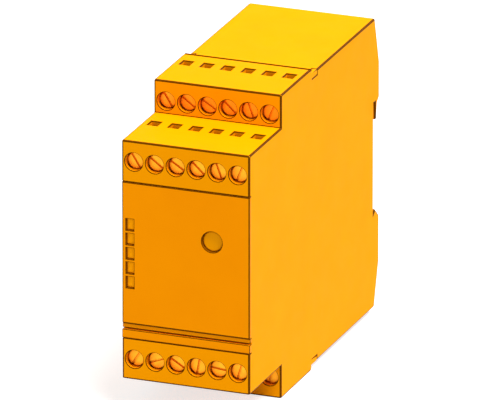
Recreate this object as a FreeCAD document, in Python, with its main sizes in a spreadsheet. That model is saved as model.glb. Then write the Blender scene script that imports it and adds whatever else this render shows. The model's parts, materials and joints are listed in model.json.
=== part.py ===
"""Safety relay for a 35 mm rail: stepped front housing, rear housing, terminals and electronics.

Frame, in millimetres: the origin is the middle of the face that sits on the rail. +X is to the
right when the front is looked at, +Y points into the rail and +Z is up.
"""
import FreeCAD, Part
import math
import os
import re

import Sketcher
from FreeCAD import Placement, Rotation, Vector

TERMINALS = 6
LENSES = 5
RELAYS = 3
SPRING_FOLDS = 8
THREAD_SIDES = 8
HEAD_SIDES = 16
TOLERANCE = 0.01

SIZES = {
    # Terminal rows, from which the housing takes its width and height.
    "terminal_pitch": 7.29,
    "end_margin": 0.63,
    "screw_inset": 7.2,
    "screw_head": 5.9,
    "screw_head_height": 2.0,
    "screw_thread": 3.0,
    "screw_length": 12.4,
    "screw_recess": 2.0,
    "driver_clearance": 0.2,
    "driver_slot": 0.8,
    "driver_slot_depth": 0.9,
    "wire_inset": 18.8,
    "wire_hole_width": 3.3,
    "wire_hole_depth": 4.0,
    "cage_depth": 8.6,
    "cage_height": 8.4,
    "cage_wall": 1.0,
    "cage_gap": 0.2,
    "barrier_wall": 0.9,
    "block_floor": 1.5,
    "block_wall": 1.9,
    "bar_width": 3.0,
    "bar_thickness": 0.8,
    "bar_lap": 2.1,
    # Front housing.
    "tier_setback": 29.2,
    "tier_land": 1.15,
    "strip_land": 1.4,
    "hood_wall": 1.8,
    "side_wall": 1.2,
    "edge_bevel": 0.35,
    "fit_gap": 0.1,
    "tab_size": 1.8,
    "tab_length": 5.3,
    "tab_gap": 0.2,
    # Front cover, carrier, lenses and reset button.
    "cover_height": 49.7,
    "groove_height": 2.1,
    "band_height": 3.1,
    "seam_gap": 0.15,
    "carrier_wall": 2.0,
    "carrier_lap": 1.0,
    "cover_bevel": 0.25,
    "snap_inset": 8.5,
    "snap_margin": 4.0,
    "snap_width": 3.0,
    "snap_thickness": 1.0,
    "snap_catch": 0.5,
    "lens_inset": 2.84,
    "lens_rise": 24.6,
    "lens_pitch": 5.04,
    "lens_window_width": 2.8,
    "lens_window_height": 4.1,
    "lens_gap": 0.1,
    "lens_recess": 0.8,
    "lens_step": 0.4,
    "led_width": 1.6,
    "led_height": 2.4,
    "led_depth": 2.2,
    "led_gap": 0.3,
    "button_inset": 13.3,
    "button_rise": 32.3,
    "button_bore": 7.3,
    "button_gap": 0.15,
    "button_recess": 1.0,
    "button_travel": 0.7,
    "button_flange": 0.8,
    "button_slack": 0.2,
    "switch_width": 6.0,
    "switch_depth": 3.4,
    "switch_bore_depth": 2.8,
    "plunger_width": 3.0,
    "plunger_length": 2.6,
    "post_width": 3.0,
    "post_inset": 5.5,
    # Rear housing and its rail foot.
    "pot_depth": 58.8,
    "pot_wall": 2.4,
    "tongue_length": 3.0,
    "rail_offset": 4.0,
    "rail_width": 35.0,
    "hook_slot": 1.8,
    "hook_reach": 6.3,
    "foot_depth": 5.5,
    "foot_lean": 4.3,
    "upper_foot_height": 13.3,
    "hook_crown": 0.8,
    "hook_taper": 1.9,
    "hook_tip": 0.8,
    "nose_rise": 1.3,
    "nose_slope": 2.0,
    "lower_foot_height": 16.3,
    "notch_drop": 4.3,
    "guide_wall": 1.0,
    "guide_height": 2.0,
    # Rail latch and its spring.
    "latch_width": 14.0,
    "latch_thickness": 3.3,
    "latch_flange": 2.0,
    "latch_flange_thickness": 1.6,
    "latch_flange_height": 20.0,
    "latch_flange_drop": 2.5,
    "latch_gap": 0.2,
    "latch_overlap": 1.5,
    "latch_travel": 3.0,
    "latch_length": 38.2,
    "latch_nose": 0.8,
    "latch_slope": 4.5,
    "latch_toe": 1.8,
    "pry_slot_width": 5.0,
    "pry_slot_height": 1.4,
    "channel_floor": 1.4,
    "peg_drop": 26.9,
    "peg_height": 1.6,
    "peg_width": 3.0,
    "spring_length": 12.0,
    "spring_width": 2.6,
    "spring_strip": 0.4,
    # Circuit boards and what they carry.
    "board_thickness": 1.6,
    "board_gap": 0.1,
    "board_standoff": 1.1,
    "terminal_board_inset": 12.0,
    "relay_length": 40.0,
    "relay_width": 13.0,
    "relay_height": 24.5,
    "relay_spacing": 15.5,
    "relay_margin": 3.5,
    "relay_bevel": 0.6,
    "core_length": 38.0,
    "core_height": 25.0,
    "core_stack": 14.0,
    "core_leg": 6.0,
    "winding_depth": 26.0,
    "bobbin_base": 2.0,
    "bobbin_wall": 1.0,
    "component_margin": 4.0,
    "can_diameter": 10.0,
    "can_height": 20.0,
    "can_spacing": 13.0,
    "fuse_width": 8.4,
    "fuse_height": 7.8,
    "chip_size": 10.0,
    "chip_height": 1.6,
    "chip_spacing": 16.0,
    "header_size": 2.5,
    "header_length": 30.0,
    "plug_length": 16.0,
}

ALIAS = re.compile(r"\b[a-z]+(?:_[a-z]+)+\b")

# Places, worked out from the sizes above. Heights are from the housing's middle, depths from
# the face on the rail.
HALF_WIDTH = f"({TERMINALS} * terminal_pitch / 2 + end_margin)"
SCREW_HOLE = "(screw_head + 2 * driver_clearance)"
FIRST_TERMINAL = f"(-{TERMINALS - 1} * terminal_pitch / 2)"
ROW_LENGTH = f"({TERMINALS - 1} * terminal_pitch)"
CAGE_WIDTH = "(terminal_pitch - barrier_wall - 2 * cage_gap)"
BLOCK_BASE = "(screw_inset + cage_height / 2 + block_floor)"
BLOCK_REAR = "(wire_inset + cage_depth / 2 + block_wall)"
TIER_HEIGHT = f"(screw_inset + {SCREW_HOLE} / 2 + tier_land)"
HALF_PANEL = "((cover_height + groove_height + band_height) / 2)"
TIER_TOP = f"({HALF_PANEL} + {BLOCK_BASE} + strip_land)"
HALF_HEIGHT = f"({TIER_TOP} + {TIER_HEIGHT})"
SPLIT = "(-pot_depth)"
TIER_FACE = f"(-pot_depth - {BLOCK_REAR} - 2 * fit_gap - tongue_length)"
FACE = f"({TIER_FACE} - tier_setback)"
REAR_HALF_HEIGHT = f"({HALF_HEIGHT} - hood_wall - fit_gap)"
POT_TOP = f"({REAR_HALF_HEIGHT} - rail_offset)"
POT_BOTTOM = f"(-{REAR_HALF_HEIGHT} - rail_offset)"
RAIL_EDGE = "(rail_width / 2)"
BOARD_FACE = f"({HALF_WIDTH} - pot_wall - board_standoff - board_thickness)"
TERMINAL_BOARD_Z = f"({HALF_PANEL} + strip_land - board_gap - board_thickness)"
CARRIER_REAR = "(hood_wall + carrier_wall)"
FLANGE_REAR = f"({CARRIER_REAR} + fit_gap + button_flange)"
SWITCH_FRONT = f"({FLANGE_REAR} + button_travel + button_slack)"
DISPLAY_FRONT = f"({SWITCH_FRONT} + switch_depth)"
DISPLAY_REAR = f"({DISPLAY_FRONT} + board_thickness)"
STEM_WIDTH = "(lens_window_width - 2 * lens_gap - 2 * lens_step)"
STEM_HEIGHT = "(lens_window_height - 2 * lens_gap - 2 * lens_step)"
SNAP_X = f"({HALF_WIDTH} - snap_inset)"
COVER_BASE = f"(-{HALF_PANEL} + band_height + groove_height)"
SNAP_HEIGHTS = (f"({COVER_BASE} + snap_margin)", f"({HALF_PANEL} - snap_margin)")
LENS_X = f"(-{HALF_WIDTH} + lens_inset)"
LENS_Z = f"({COVER_BASE} + lens_rise - {(LENSES - 1) / 2} * lens_pitch)"
BUTTON_X = f"({HALF_WIDTH} - button_inset)"
BUTTON_Z = f"({COVER_BASE} + button_rise)"
CHANNEL_HALF = "(latch_width / 2 + latch_flange + latch_gap)"
LOWER_FOOT_BASE = f"(-{RAIL_EDGE} - notch_drop - nose_slope - lower_foot_height)"
BAR_FRONT = "(wire_inset + cage_depth / 2 - cage_wall - bar_thickness)"
LATCH_TOP = f"(-{RAIL_EDGE} + latch_overlap)"
LATCH_FRONT = "(channel_floor + latch_gap)"
PEG_TOP = f"(-{RAIL_EDGE} - peg_drop)"

doc = FreeCAD.newDocument("SafetyRelay")
sheet = doc.addObject("Spreadsheet::Sheet", "Sizes")
for row, (alias, size) in enumerate(SIZES.items(), start=1):
    sheet.set(f"A{row}", alias)
    sheet.set(f"B{row}", str(size))
    sheet.setAlias(f"B{row}", alias)
doc.recompute()

PARTS = []


def cells(text):
    """The text of an expression, with each alias read from the sheet."""
    return ALIAS.sub(r"Sizes.\g<0>", text)


def value(text):
    """The present value of an expression."""
    return float(sheet.evalExpression(cells(text)))


def bind(thing, prop, text):
    """Bind one property to an expression on the sheet."""
    thing.setExpression(prop, cells(text))


def place(thing, x="0", y="0", z="0"):
    """Bind where a sub-part stands."""
    for axis, text in zip("xyz", (x, y, z)):
        bind(thing, f".Placement.Base.{axis}", text)


def new_body(name, x="0", y="0", z="0", turned=False):
    """A sub-part's body, turned upside down about Y where it belongs to a lower row."""
    body = doc.addObject("PartDesign::Body", name)
    body.Label = name
    body.AllowCompound = True
    if turned:
        body.Placement = Placement(Vector(), Rotation(Vector(0, 1, 0), 180))
    place(body, x, y, z)
    PARTS.append(body)
    return body


def front_body(name):
    """A body whose own origin is the middle of the front face."""
    return new_body(name, y=FACE, z="-rail_offset")


def origin_feature(body, role):
    """One of the body's own origin planes or axes."""
    return next(item for item in body.Origin.OriginFeatures if item.Role == role)


def sketch(body, role, offset="0"):
    """A sketch on one of the body's origin planes, moved along that plane's normal."""
    drawn = body.newObject("Sketcher::SketchObject", "Sketch")
    drawn.AttachmentSupport = [(origin_feature(body, role), "")]
    drawn.MapMode = "FlatFace"
    bind(drawn, ".AttachmentOffset.Base.z", offset)
    return drawn


def side_sketch(body, offset="0"):
    """A sketch across the width: its points are (y, z)."""
    return sketch(body, "YZ_Plane", offset)


def face_sketch(body, depth="0"):
    """A sketch parallel to the front, at a depth along +Y: its points are (x, z)."""
    return sketch(body, "XZ_Plane", f"-({depth})")


def plan_sketch(body, height="0"):
    """A level sketch: its points are (x, y)."""
    return sketch(body, "XY_Plane", height)


def fix_point(drawn, curve, point, texts, values):
    """Hold one point of a curve at its two expressions."""
    for kind, text, number in zip(("DistanceX", "DistanceY"), texts, values):
        held = drawn.addConstraint(Sketcher.Constraint(kind, -1, 1, curve, point, number))
        bind(drawn, f"Constraints[{held}]", text)


def polygon(drawn, points):
    """A closed outline whose corners are pairs of expressions."""
    corners = [(value(u), value(v)) for u, v in points]
    first = drawn.GeometryCount
    count = len(points)
    for index, start in enumerate(corners):
        end = corners[(index + 1) % count]
        drawn.addGeometry(Part.LineSegment(Vector(*start, 0), Vector(*end, 0)), False)
    for index in range(count):
        after = first + (index + 1) % count
        drawn.addConstraint(Sketcher.Constraint("Coincident", first + index, 2, after, 1))
    for index, texts in enumerate(points):
        fix_point(drawn, first + index, 1, texts, corners[index])


def rectangle(drawn, left, right, low, high):
    """A rectangle between four expressions."""
    polygon(drawn, [(left, low), (right, low), (right, high), (left, high)])


def box_about(drawn, centre_u, centre_v, width, height):
    """A rectangle about a centre."""
    rectangle(
        drawn,
        f"{centre_u} - {width} / 2",
        f"{centre_u} + {width} / 2",
        f"{centre_v} - {height} / 2",
        f"{centre_v} + {height} / 2",
    )


def circle(drawn, centre_u, centre_v, diameter):
    """A circle about a centre."""
    middle = (value(centre_u), value(centre_v))
    curve = drawn.addGeometry(
        Part.Circle(Vector(*middle, 0), Vector(0, 0, 1), value(diameter) / 2), False
    )
    fix_point(drawn, curve, 3, (centre_u, centre_v), middle)
    held = drawn.addConstraint(Sketcher.Constraint("Diameter", curve, value(diameter)))
    bind(drawn, f"Constraints[{held}]", diameter)


def many_sided(drawn, centre_u, centre_v, width, sides):
    """A regular outline about a centre, for small fasteners: its corners lie on a circle."""
    turns = [2 * math.pi / sides * (step + 0.5) for step in range(sides)]
    polygon(
        drawn,
        [
            (
                f"{centre_u} + {math.cos(turn):.6f} * {width} / 2",
                f"{centre_v} + {math.sin(turn):.6f} * {width} / 2",
            )
            for turn in turns
        ],
    )


def extrude(body, kind, drawn, length, symmetric=False, backwards=False):
    """A pad or a pocket of a sketch."""
    feature = body.newObject(f"PartDesign::{kind}", kind)
    feature.Profile = drawn
    bind(feature, "Length", length)
    if symmetric:
        feature.SideType = "Symmetric"
    feature.Reversed = backwards
    drawn.Visibility = False
    return feature


def pad(body, drawn, length, **options):
    """Material along the sketch's normal."""
    return extrude(body, "Pad", drawn, length, **options)


def pad_inward(body, drawn, length):
    """Material along +Y from a sketch parallel to the front."""
    return extrude(body, "Pad", drawn, length, backwards=True)


def pocket(body, drawn, length, **options):
    """A cut against the sketch's normal, so along +Y from a sketch parallel to the front."""
    return extrude(body, "Pocket", drawn, length, **options)


def cut_through(body, drawn):
    """A cut both ways through everything."""
    feature = body.newObject("PartDesign::Pocket", "Pocket")
    feature.Profile = drawn
    feature.SideType = "Symmetric"
    feature.Type = "ThroughAll"
    drawn.Visibility = False
    return feature


def row_of(body, features, role, length, count):
    """Copies of features, evenly spaced over a length."""
    doc.recompute()
    pattern = body.newObject("PartDesign::LinearPattern", "Row")
    pattern.Originals = features
    pattern.Direction = (origin_feature(body, role), [""])
    pattern.Occurrences = count
    bind(pattern, "Length", length)
    body.Tip = pattern
    doc.recompute()
    return pattern


def chamfer(body, size, wanted):
    """Bevel the edges of the body so far that a test wants."""
    doc.recompute()
    base = body.Tip
    names = [f"Edge{n}" for n, edge in enumerate(base.Shape.Edges, start=1) if wanted(edge)]
    bevel = body.newObject("PartDesign::Chamfer", "Chamfer")
    bevel.Base = (base, names)
    bind(bevel, "Size", size)
    doc.recompute()


def spread(edge, axis):
    """How far an edge runs along one axis."""
    return getattr(edge.BoundBox, f"{axis}Length")


def is_along(edge, axis):
    """Whether an edge is straight and parallel to an axis."""
    return edge.Length - spread(edge, axis) < TOLERANCE < edge.Length


def on_outer_side(edge):
    """Whether an edge lies on one of the housing's two sides."""
    box = edge.BoundBox
    return box.XLength < TOLERANCE and abs(abs(box.XMin) - value(HALF_WIDTH)) < TOLERANCE


def off_plane(edge, y):
    """Whether an edge does not lie in the upright plane at a depth."""
    box = edge.BoundBox
    return abs(box.YMin - y) > TOLERANCE or box.YLength > TOLERANCE


def is_cover_rim(edge):
    """Whether an edge borders the cover's front face on its outside."""
    at_front = abs(edge.BoundBox.YMax) < TOLERANCE
    return at_front and (on_outer_side(edge) or spread(edge, "X") > value(HALF_WIDTH))


def front_housing():
    """The stepped hood: two tiers of terminal openings above and below the panel."""
    body = new_body("front_housing", z="-rail_offset")
    outer = side_sketch(body)
    polygon(
        outer,
        [
            (FACE, f"-{TIER_TOP}"),
            (FACE, TIER_TOP),
            (TIER_FACE, TIER_TOP),
            (TIER_FACE, HALF_HEIGHT),
            (SPLIT, HALF_HEIGHT),
            (SPLIT, f"-{HALF_HEIGHT}"),
            (TIER_FACE, f"-{HALF_HEIGHT}"),
            (TIER_FACE, f"-{TIER_TOP}"),
        ],
    )
    pad(body, outer, f"2 * {HALF_WIDTH}", symmetric=True)
    split = value(SPLIT)
    tier_face = value(TIER_FACE)
    tier_top = value(TIER_TOP)

    def is_outer(edge):
        box = edge.BoundBox
        at_split = abs(box.YMin - split) < TOLERANCE
        at_step = abs(box.YMax - tier_face) < TOLERANCE and abs(abs(box.ZMin) - tier_top) < TOLERANCE
        return not at_split and not (is_along(edge, "X") and at_step)

    chamfer(body, "edge_bevel", is_outer)

    inner_half = [
        (f"{SPLIT} + hood_wall", f"{HALF_HEIGHT} - hood_wall"),
        (f"{TIER_FACE} + hood_wall", f"{HALF_HEIGHT} - hood_wall"),
        (f"{TIER_FACE} + hood_wall", f"{TIER_TOP} - hood_wall"),
        (f"{FACE} + hood_wall", f"{TIER_TOP} - hood_wall"),
        (f"{FACE} + hood_wall", HALF_PANEL),
        (f"{FACE} - hood_wall", HALF_PANEL),
    ]
    inner = side_sketch(body)
    polygon(inner, inner_half + [(y, f"-({z})") for y, z in reversed(inner_half)])
    pocket(body, inner, f"2 * ({HALF_WIDTH} - side_wall)", symmetric=True)

    panel_seat = face_sketch(body, FACE)
    box_about(panel_seat, "0", "0", f"(3 * {HALF_WIDTH})", f"(2 * {HALF_PANEL})")
    pocket(body, panel_seat, "hood_wall")

    cuts = []
    for face, top in ((FACE, TIER_TOP), (TIER_FACE, HALF_HEIGHT)):
        screws = face_sketch(body, face)
        for sign in ("", "-"):
            circle(screws, FIRST_TERMINAL, f"{sign}({top} - screw_inset)", SCREW_HOLE)
        cuts.append(pocket(body, screws, "2 * hood_wall"))
    wires = plan_sketch(body)
    for face in (FACE, TIER_FACE):
        box_about(wires, FIRST_TERMINAL, f"({face} + wire_inset)", "wire_hole_width", "wire_hole_depth")
    cuts.append(cut_through(body, wires))
    row_of(body, cuts, "X_Axis", ROW_LENGTH, TERMINALS)

    tabs = face_sketch(body, SPLIT)
    for side, end in ((1, 1), (1, -1), (-1, 1), (-1, -1)):
        box_about(
            tabs,
            f"{side} * ({HALF_WIDTH} - tab_size / 2)",
            f"{end} * ({REAR_HALF_HEIGHT} - tab_size / 2)",
            "tab_size",
            "tab_size",
        )
    pad_inward(body, tabs, "tab_length")


def rear_housing():
    """The pot behind the hood, with the rail hook, the latch channel and the board guides."""
    body = new_body("rear_housing")
    tongue_front = f"({SPLIT} - tongue_length)"
    outer = side_sketch(body)
    polygon(
        outer,
        [
            (tongue_front, POT_TOP),
            ("foot_depth - foot_lean", POT_TOP),
            ("foot_depth", f"{RAIL_EDGE} + upper_foot_height"),
            ("foot_depth", f"{RAIL_EDGE} + hook_crown"),
            ("foot_depth - hook_taper", f"{RAIL_EDGE} - hook_crown"),
            ("hook_slot + hook_tip", f"{RAIL_EDGE} - hook_reach"),
            ("hook_slot", f"{RAIL_EDGE} - hook_reach"),
            ("hook_slot", RAIL_EDGE),
            ("0", RAIL_EDGE),
            ("0", f"-{RAIL_EDGE} - notch_drop"),
            ("hook_slot", f"-{RAIL_EDGE} - notch_drop + nose_rise"),
            ("foot_depth", f"-{RAIL_EDGE} - notch_drop - nose_slope"),
            ("foot_depth", LOWER_FOOT_BASE),
            ("foot_depth - foot_lean", POT_BOTTOM),
            (tongue_front, POT_BOTTOM),
        ],
    )
    pad(body, outer, f"2 * {HALF_WIDTH}", symmetric=True)
    front = value(tongue_front)
    chamfer(body, "edge_bevel", lambda edge: on_outer_side(edge) and off_plane(edge, front))

    inner = side_sketch(body)
    polygon(
        inner,
        [
            (f"{tongue_front} - pot_wall", f"{POT_TOP} - pot_wall"),
            ("foot_depth - foot_lean - pot_wall", f"{POT_TOP} - pot_wall"),
            ("foot_depth - pot_wall", f"{RAIL_EDGE} + upper_foot_height"),
            ("foot_depth - pot_wall", f"{RAIL_EDGE} + pot_wall"),
            ("-pot_wall", f"{RAIL_EDGE} + pot_wall"),
            ("-pot_wall", f"{POT_BOTTOM} + pot_wall"),
            (f"{tongue_front} - pot_wall", f"{POT_BOTTOM} + pot_wall"),
        ],
    )
    pocket(body, inner, f"2 * ({HALF_WIDTH} - pot_wall)", symmetric=True)

    hollows = face_sketch(body, "-pot_wall")
    for side in ("", "-"):
        rectangle(
            hollows,
            f"{side}({CHANNEL_HALF} + pot_wall)",
            f"{side}({HALF_WIDTH} - pot_wall)",
            LOWER_FOOT_BASE,
            f"-{RAIL_EDGE} - notch_drop - pot_wall",
        )
    pocket(body, hollows, "foot_depth")

    joggle = face_sketch(body, tongue_front)
    for side in ("", "-"):
        rectangle(
            joggle,
            f"{side}({HALF_WIDTH} - side_wall - fit_gap)",
            f"{side}({HALF_WIDTH} + side_wall)",
            f"{POT_BOTTOM} - pot_wall",
            f"{POT_TOP} + pot_wall",
        )
    pocket(body, joggle, "tongue_length")

    notches = face_sketch(body, SPLIT)
    for side in ("", "-"):
        for edge, outward in ((POT_TOP, "-"), (POT_BOTTOM, "+")):
            rectangle(
                notches,
                f"{side}({HALF_WIDTH} - tab_size - tab_gap)",
                f"{side}({HALF_WIDTH} + tab_gap)",
                f"{edge} {outward} (tab_size + tab_gap)",
                f"{edge} {outward} (-tab_gap)",
            )
    pocket(body, notches, "tab_length + tab_gap")

    guides = face_sketch(body, f"{SPLIT} + guide_wall")
    for side in ("", "-"):
        for edge, inward in ((POT_TOP, "-"), (POT_BOTTOM, "+")):
            for near, far in (
                (f"{BOARD_FACE} - board_gap - guide_wall", f"{BOARD_FACE} - board_gap"),
                (f"{BOARD_FACE} + board_thickness + board_gap", f"{HALF_WIDTH} - pot_wall"),
            ):
                rectangle(
                    guides,
                    f"{side}({near})",
                    f"{side}({far})",
                    f"{edge} {inward} pot_wall",
                    f"{edge} {inward} (pot_wall + guide_height)",
                )
    pad_inward(body, guides, "pot_depth - guide_wall - pot_wall / 2")

    channel = plan_sketch(body, f"{POT_BOTTOM} - pot_wall")
    lip = f"({LATCH_FRONT} + latch_flange_thickness + latch_gap)"
    neck = "(latch_width / 2 + latch_gap)"
    polygon(
        channel,
        [
            (f"-{CHANNEL_HALF}", "channel_floor"),
            (CHANNEL_HALF, "channel_floor"),
            (CHANNEL_HALF, lip),
            (neck, lip),
            (neck, "2 * foot_depth"),
            (f"-{neck}", "2 * foot_depth"),
            (f"-{neck}", lip),
            (f"-{CHANNEL_HALF}", lip),
        ],
    )
    channel_top = f"(-{RAIL_EDGE} - notch_drop + 2 * nose_rise)"
    pocket(body, channel, f"{channel_top} - {POT_BOTTOM} + pot_wall", backwards=True)

    peg = face_sketch(body, "0")
    rectangle(peg, "-peg_width / 2", "peg_width / 2", f"{PEG_TOP} - peg_height", PEG_TOP)
    pad_inward(body, peg, f"{LATCH_FRONT} + latch_thickness - 2 * latch_gap")


def panel_carrier():
    """The inner frame behind the front cover: it holds the lenses and the display board."""
    body = front_body("panel_carrier")
    plate = face_sketch(body, "hood_wall")
    box_about(
        plate,
        "0",
        "0",
        f"(2 * ({HALF_WIDTH} - side_wall - fit_gap))",
        f"(2 * ({HALF_PANEL} + carrier_lap))",
    )
    for index in range(LENSES):
        box_about(
            plate,
            LENS_X,
            f"({LENS_Z} + {index} * lens_pitch)",
            f"({STEM_WIDTH} + 2 * lens_gap)",
            f"({STEM_HEIGHT} + 2 * lens_gap)",
        )
    circle(plate, BUTTON_X, BUTTON_Z, "button_bore")
    for side in ("-", ""):
        for height in SNAP_HEIGHTS:
            box_about(
                plate,
                f"{side}{SNAP_X}",
                height,
                "(snap_width + 2 * tab_gap)",
                "(snap_thickness + 2 * snap_catch)",
            )
    pad_inward(body, plate, "carrier_wall")

    band = face_sketch(body, "0")
    rectangle(
        band,
        f"-{HALF_WIDTH}",
        HALF_WIDTH,
        f"-{HALF_PANEL} + seam_gap",
        f"-{HALF_PANEL} + band_height",
    )
    pad_inward(body, band, "hood_wall")

    posts = face_sketch(body, CARRIER_REAR)
    for side in ("-", ""):
        for end in ("-", ""):
            box_about(
                posts,
                f"{side}({HALF_WIDTH} - post_inset)",
                f"{end}({HALF_PANEL} - post_inset)",
                "post_width",
                "post_width",
            )
    pad_inward(body, posts, f"{DISPLAY_FRONT} - {CARRIER_REAR}")


def front_cover():
    """The full-width plate with the lens windows, the button's bore and four snap arms."""
    body = front_body("front_cover")
    plate = face_sketch(body, "0")
    rectangle(
        plate, f"-{HALF_WIDTH}", HALF_WIDTH, COVER_BASE, f"{COVER_BASE} + cover_height - seam_gap"
    )
    for index in range(LENSES):
        box_about(
            plate,
            LENS_X,
            f"({LENS_Z} + {index} * lens_pitch)",
            "lens_window_width",
            "lens_window_height",
        )
    circle(plate, BUTTON_X, BUTTON_Z, "button_bore")
    pad_inward(body, plate, "hood_wall")
    chamfer(body, "cover_bevel", is_cover_rim)

    for side in ("-", ""):
        arms = side_sketch(body, f"{side}{SNAP_X}")
        for height, outward in zip(SNAP_HEIGHTS, ("-", "+")):
            catch = f"{CARRIER_REAR} + fit_gap"
            root = f"{height} {outward} (-snap_thickness / 2)"
            tip = f"{height} {outward} (snap_thickness / 2)"
            polygon(
                arms,
                [
                    ("hood_wall", root),
                    ("hood_wall", tip),
                    (catch, tip),
                    (catch, f"{height} {outward} (snap_thickness / 2 + snap_catch)"),
                    (f"{catch} + 2 * snap_catch", tip),
                    (f"{catch} + 2 * snap_catch", root),
                ],
            )
        pad(body, arms, "snap_width", symmetric=True)


def status_lenses():
    """Five light guides: each shows its head in the cover and runs back to its lamp."""
    head_width = "(lens_window_width - 2 * lens_gap)"
    head_height = "(lens_window_height - 2 * lens_gap)"
    for index in range(LENSES):
        number = LENSES - index
        body = new_body(
            f"status_lens_{number}",
            x=LENS_X,
            y=FACE,
            z=f"{LENS_Z} + {index} * lens_pitch - rail_offset",
        )
        head = face_sketch(body, "lens_recess")
        box_about(head, "0", "0", head_width, head_height)
        pad_inward(body, head, "hood_wall - lens_recess")
        stem = face_sketch(body, "hood_wall")
        box_about(stem, "0", "0", STEM_WIDTH, STEM_HEIGHT)
        pad_inward(body, stem, f"{DISPLAY_FRONT} - led_depth - led_gap - hood_wall")


def status_leds():
    """The lamps on the display board, one behind each lens."""
    body = front_body("status_leds")
    lamp = face_sketch(body, f"{DISPLAY_FRONT} - led_depth")
    box_about(lamp, LENS_X, LENS_Z, "led_width", "led_height")
    first = pad_inward(body, lamp, "led_depth")
    row_of(body, [first], "Z_Axis", f"{LENSES - 1} * lens_pitch", LENSES)


def reset_button():
    """The recessed cap, kept in by its flange behind the carrier."""
    body = new_body("reset_button", x=BUTTON_X, y=FACE, z=f"{BUTTON_Z} - rail_offset")
    cap = face_sketch(body, "button_recess")
    circle(cap, "0", "0", "button_bore - 2 * button_gap")
    pad_inward(body, cap, f"{FLANGE_REAR} - button_recess")
    flange = face_sketch(body, f"{FLANGE_REAR} - button_flange")
    circle(flange, "0", "0", "button_bore + 2 * button_flange")
    pad_inward(body, flange, "button_flange")


def reset_switch():
    """The switch on the display board, with a bore for its plunger."""
    body = new_body("reset_switch", x=BUTTON_X, y=FACE, z=f"{BUTTON_Z} - rail_offset")
    case = face_sketch(body, SWITCH_FRONT)
    box_about(case, "0", "0", "switch_width", "switch_width")
    pad_inward(body, case, "switch_depth")
    bore = face_sketch(body, SWITCH_FRONT)
    bore_width = "(plunger_width + 2 * button_gap)"
    box_about(bore, "0", "0", bore_width, bore_width)
    pocket(body, bore, "switch_bore_depth")


def switch_plunger():
    """The plunger that the cap pushes into the switch."""
    body = new_body("switch_plunger", x=BUTTON_X, y=FACE, z=f"{BUTTON_Z} - rail_offset")
    rod = face_sketch(body, FLANGE_REAR)
    box_about(rod, "0", "0", "plunger_width", "plunger_width")
    pad_inward(body, rod, "plunger_length")


def rail_latch():
    """The slider that hooks behind the rail's lower edge, with its spring window."""
    body = new_body("rail_latch")
    rear = f"({LATCH_FRONT} + latch_thickness)"
    base = f"({LATCH_TOP} - latch_length)"
    profile = side_sketch(body)
    polygon(
        profile,
        [
            (LATCH_FRONT, LATCH_TOP),
            (f"{LATCH_FRONT} + latch_nose", LATCH_TOP),
            (rear, f"{LATCH_TOP} - latch_slope"),
            (rear, LOWER_FOOT_BASE),
            (f"{LATCH_FRONT} + latch_toe", base),
            (LATCH_FRONT, base),
        ],
    )
    pad(body, profile, "latch_width", symmetric=True)
    flange_base = f"({PEG_TOP} - peg_height / 2 + latch_travel - latch_flange_drop)"
    flanges = side_sketch(body)
    rectangle(
        flanges,
        LATCH_FRONT,
        f"{LATCH_FRONT} + latch_flange_thickness",
        flange_base,
        f"{flange_base} + latch_flange_height",
    )
    pad(body, flanges, "latch_width + 2 * latch_flange", symmetric=True)
    openings = face_sketch(body, "0")
    rectangle(
        openings,
        "-(peg_width / 2 + 2 * latch_gap)",
        "peg_width / 2 + 2 * latch_gap",
        f"{PEG_TOP} - peg_height - latch_gap",
        f"{PEG_TOP} + spring_length",
    )
    rectangle(
        openings,
        "-pry_slot_width / 2",
        "pry_slot_width / 2",
        f"{base} + pry_slot_height",
        f"{base} + 2 * pry_slot_height",
    )
    pocket(body, openings, "2 * foot_depth")


def latch_spring():
    """A folded strip spring between the housing's peg and the top of the latch's window."""
    body = new_body("latch_spring", y=f"{LATCH_FRONT} + latch_gap", z=PEG_TOP)
    rise = f"((spring_length - spring_strip) / {SPRING_FOLDS})"
    side = "(spring_width / 2)"
    low = []
    for fold in range(SPRING_FOLDS + 1):
        low.append((f"{'-' if fold % 2 else ''}{side}", f"{fold} * {rise}"))
    high = [(x, f"{z} + spring_strip") for x, z in reversed(low)]
    strip = face_sketch(body, "0")
    polygon(strip, low + high)
    pad_inward(body, strip, "latch_thickness - 2 * latch_gap")


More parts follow.
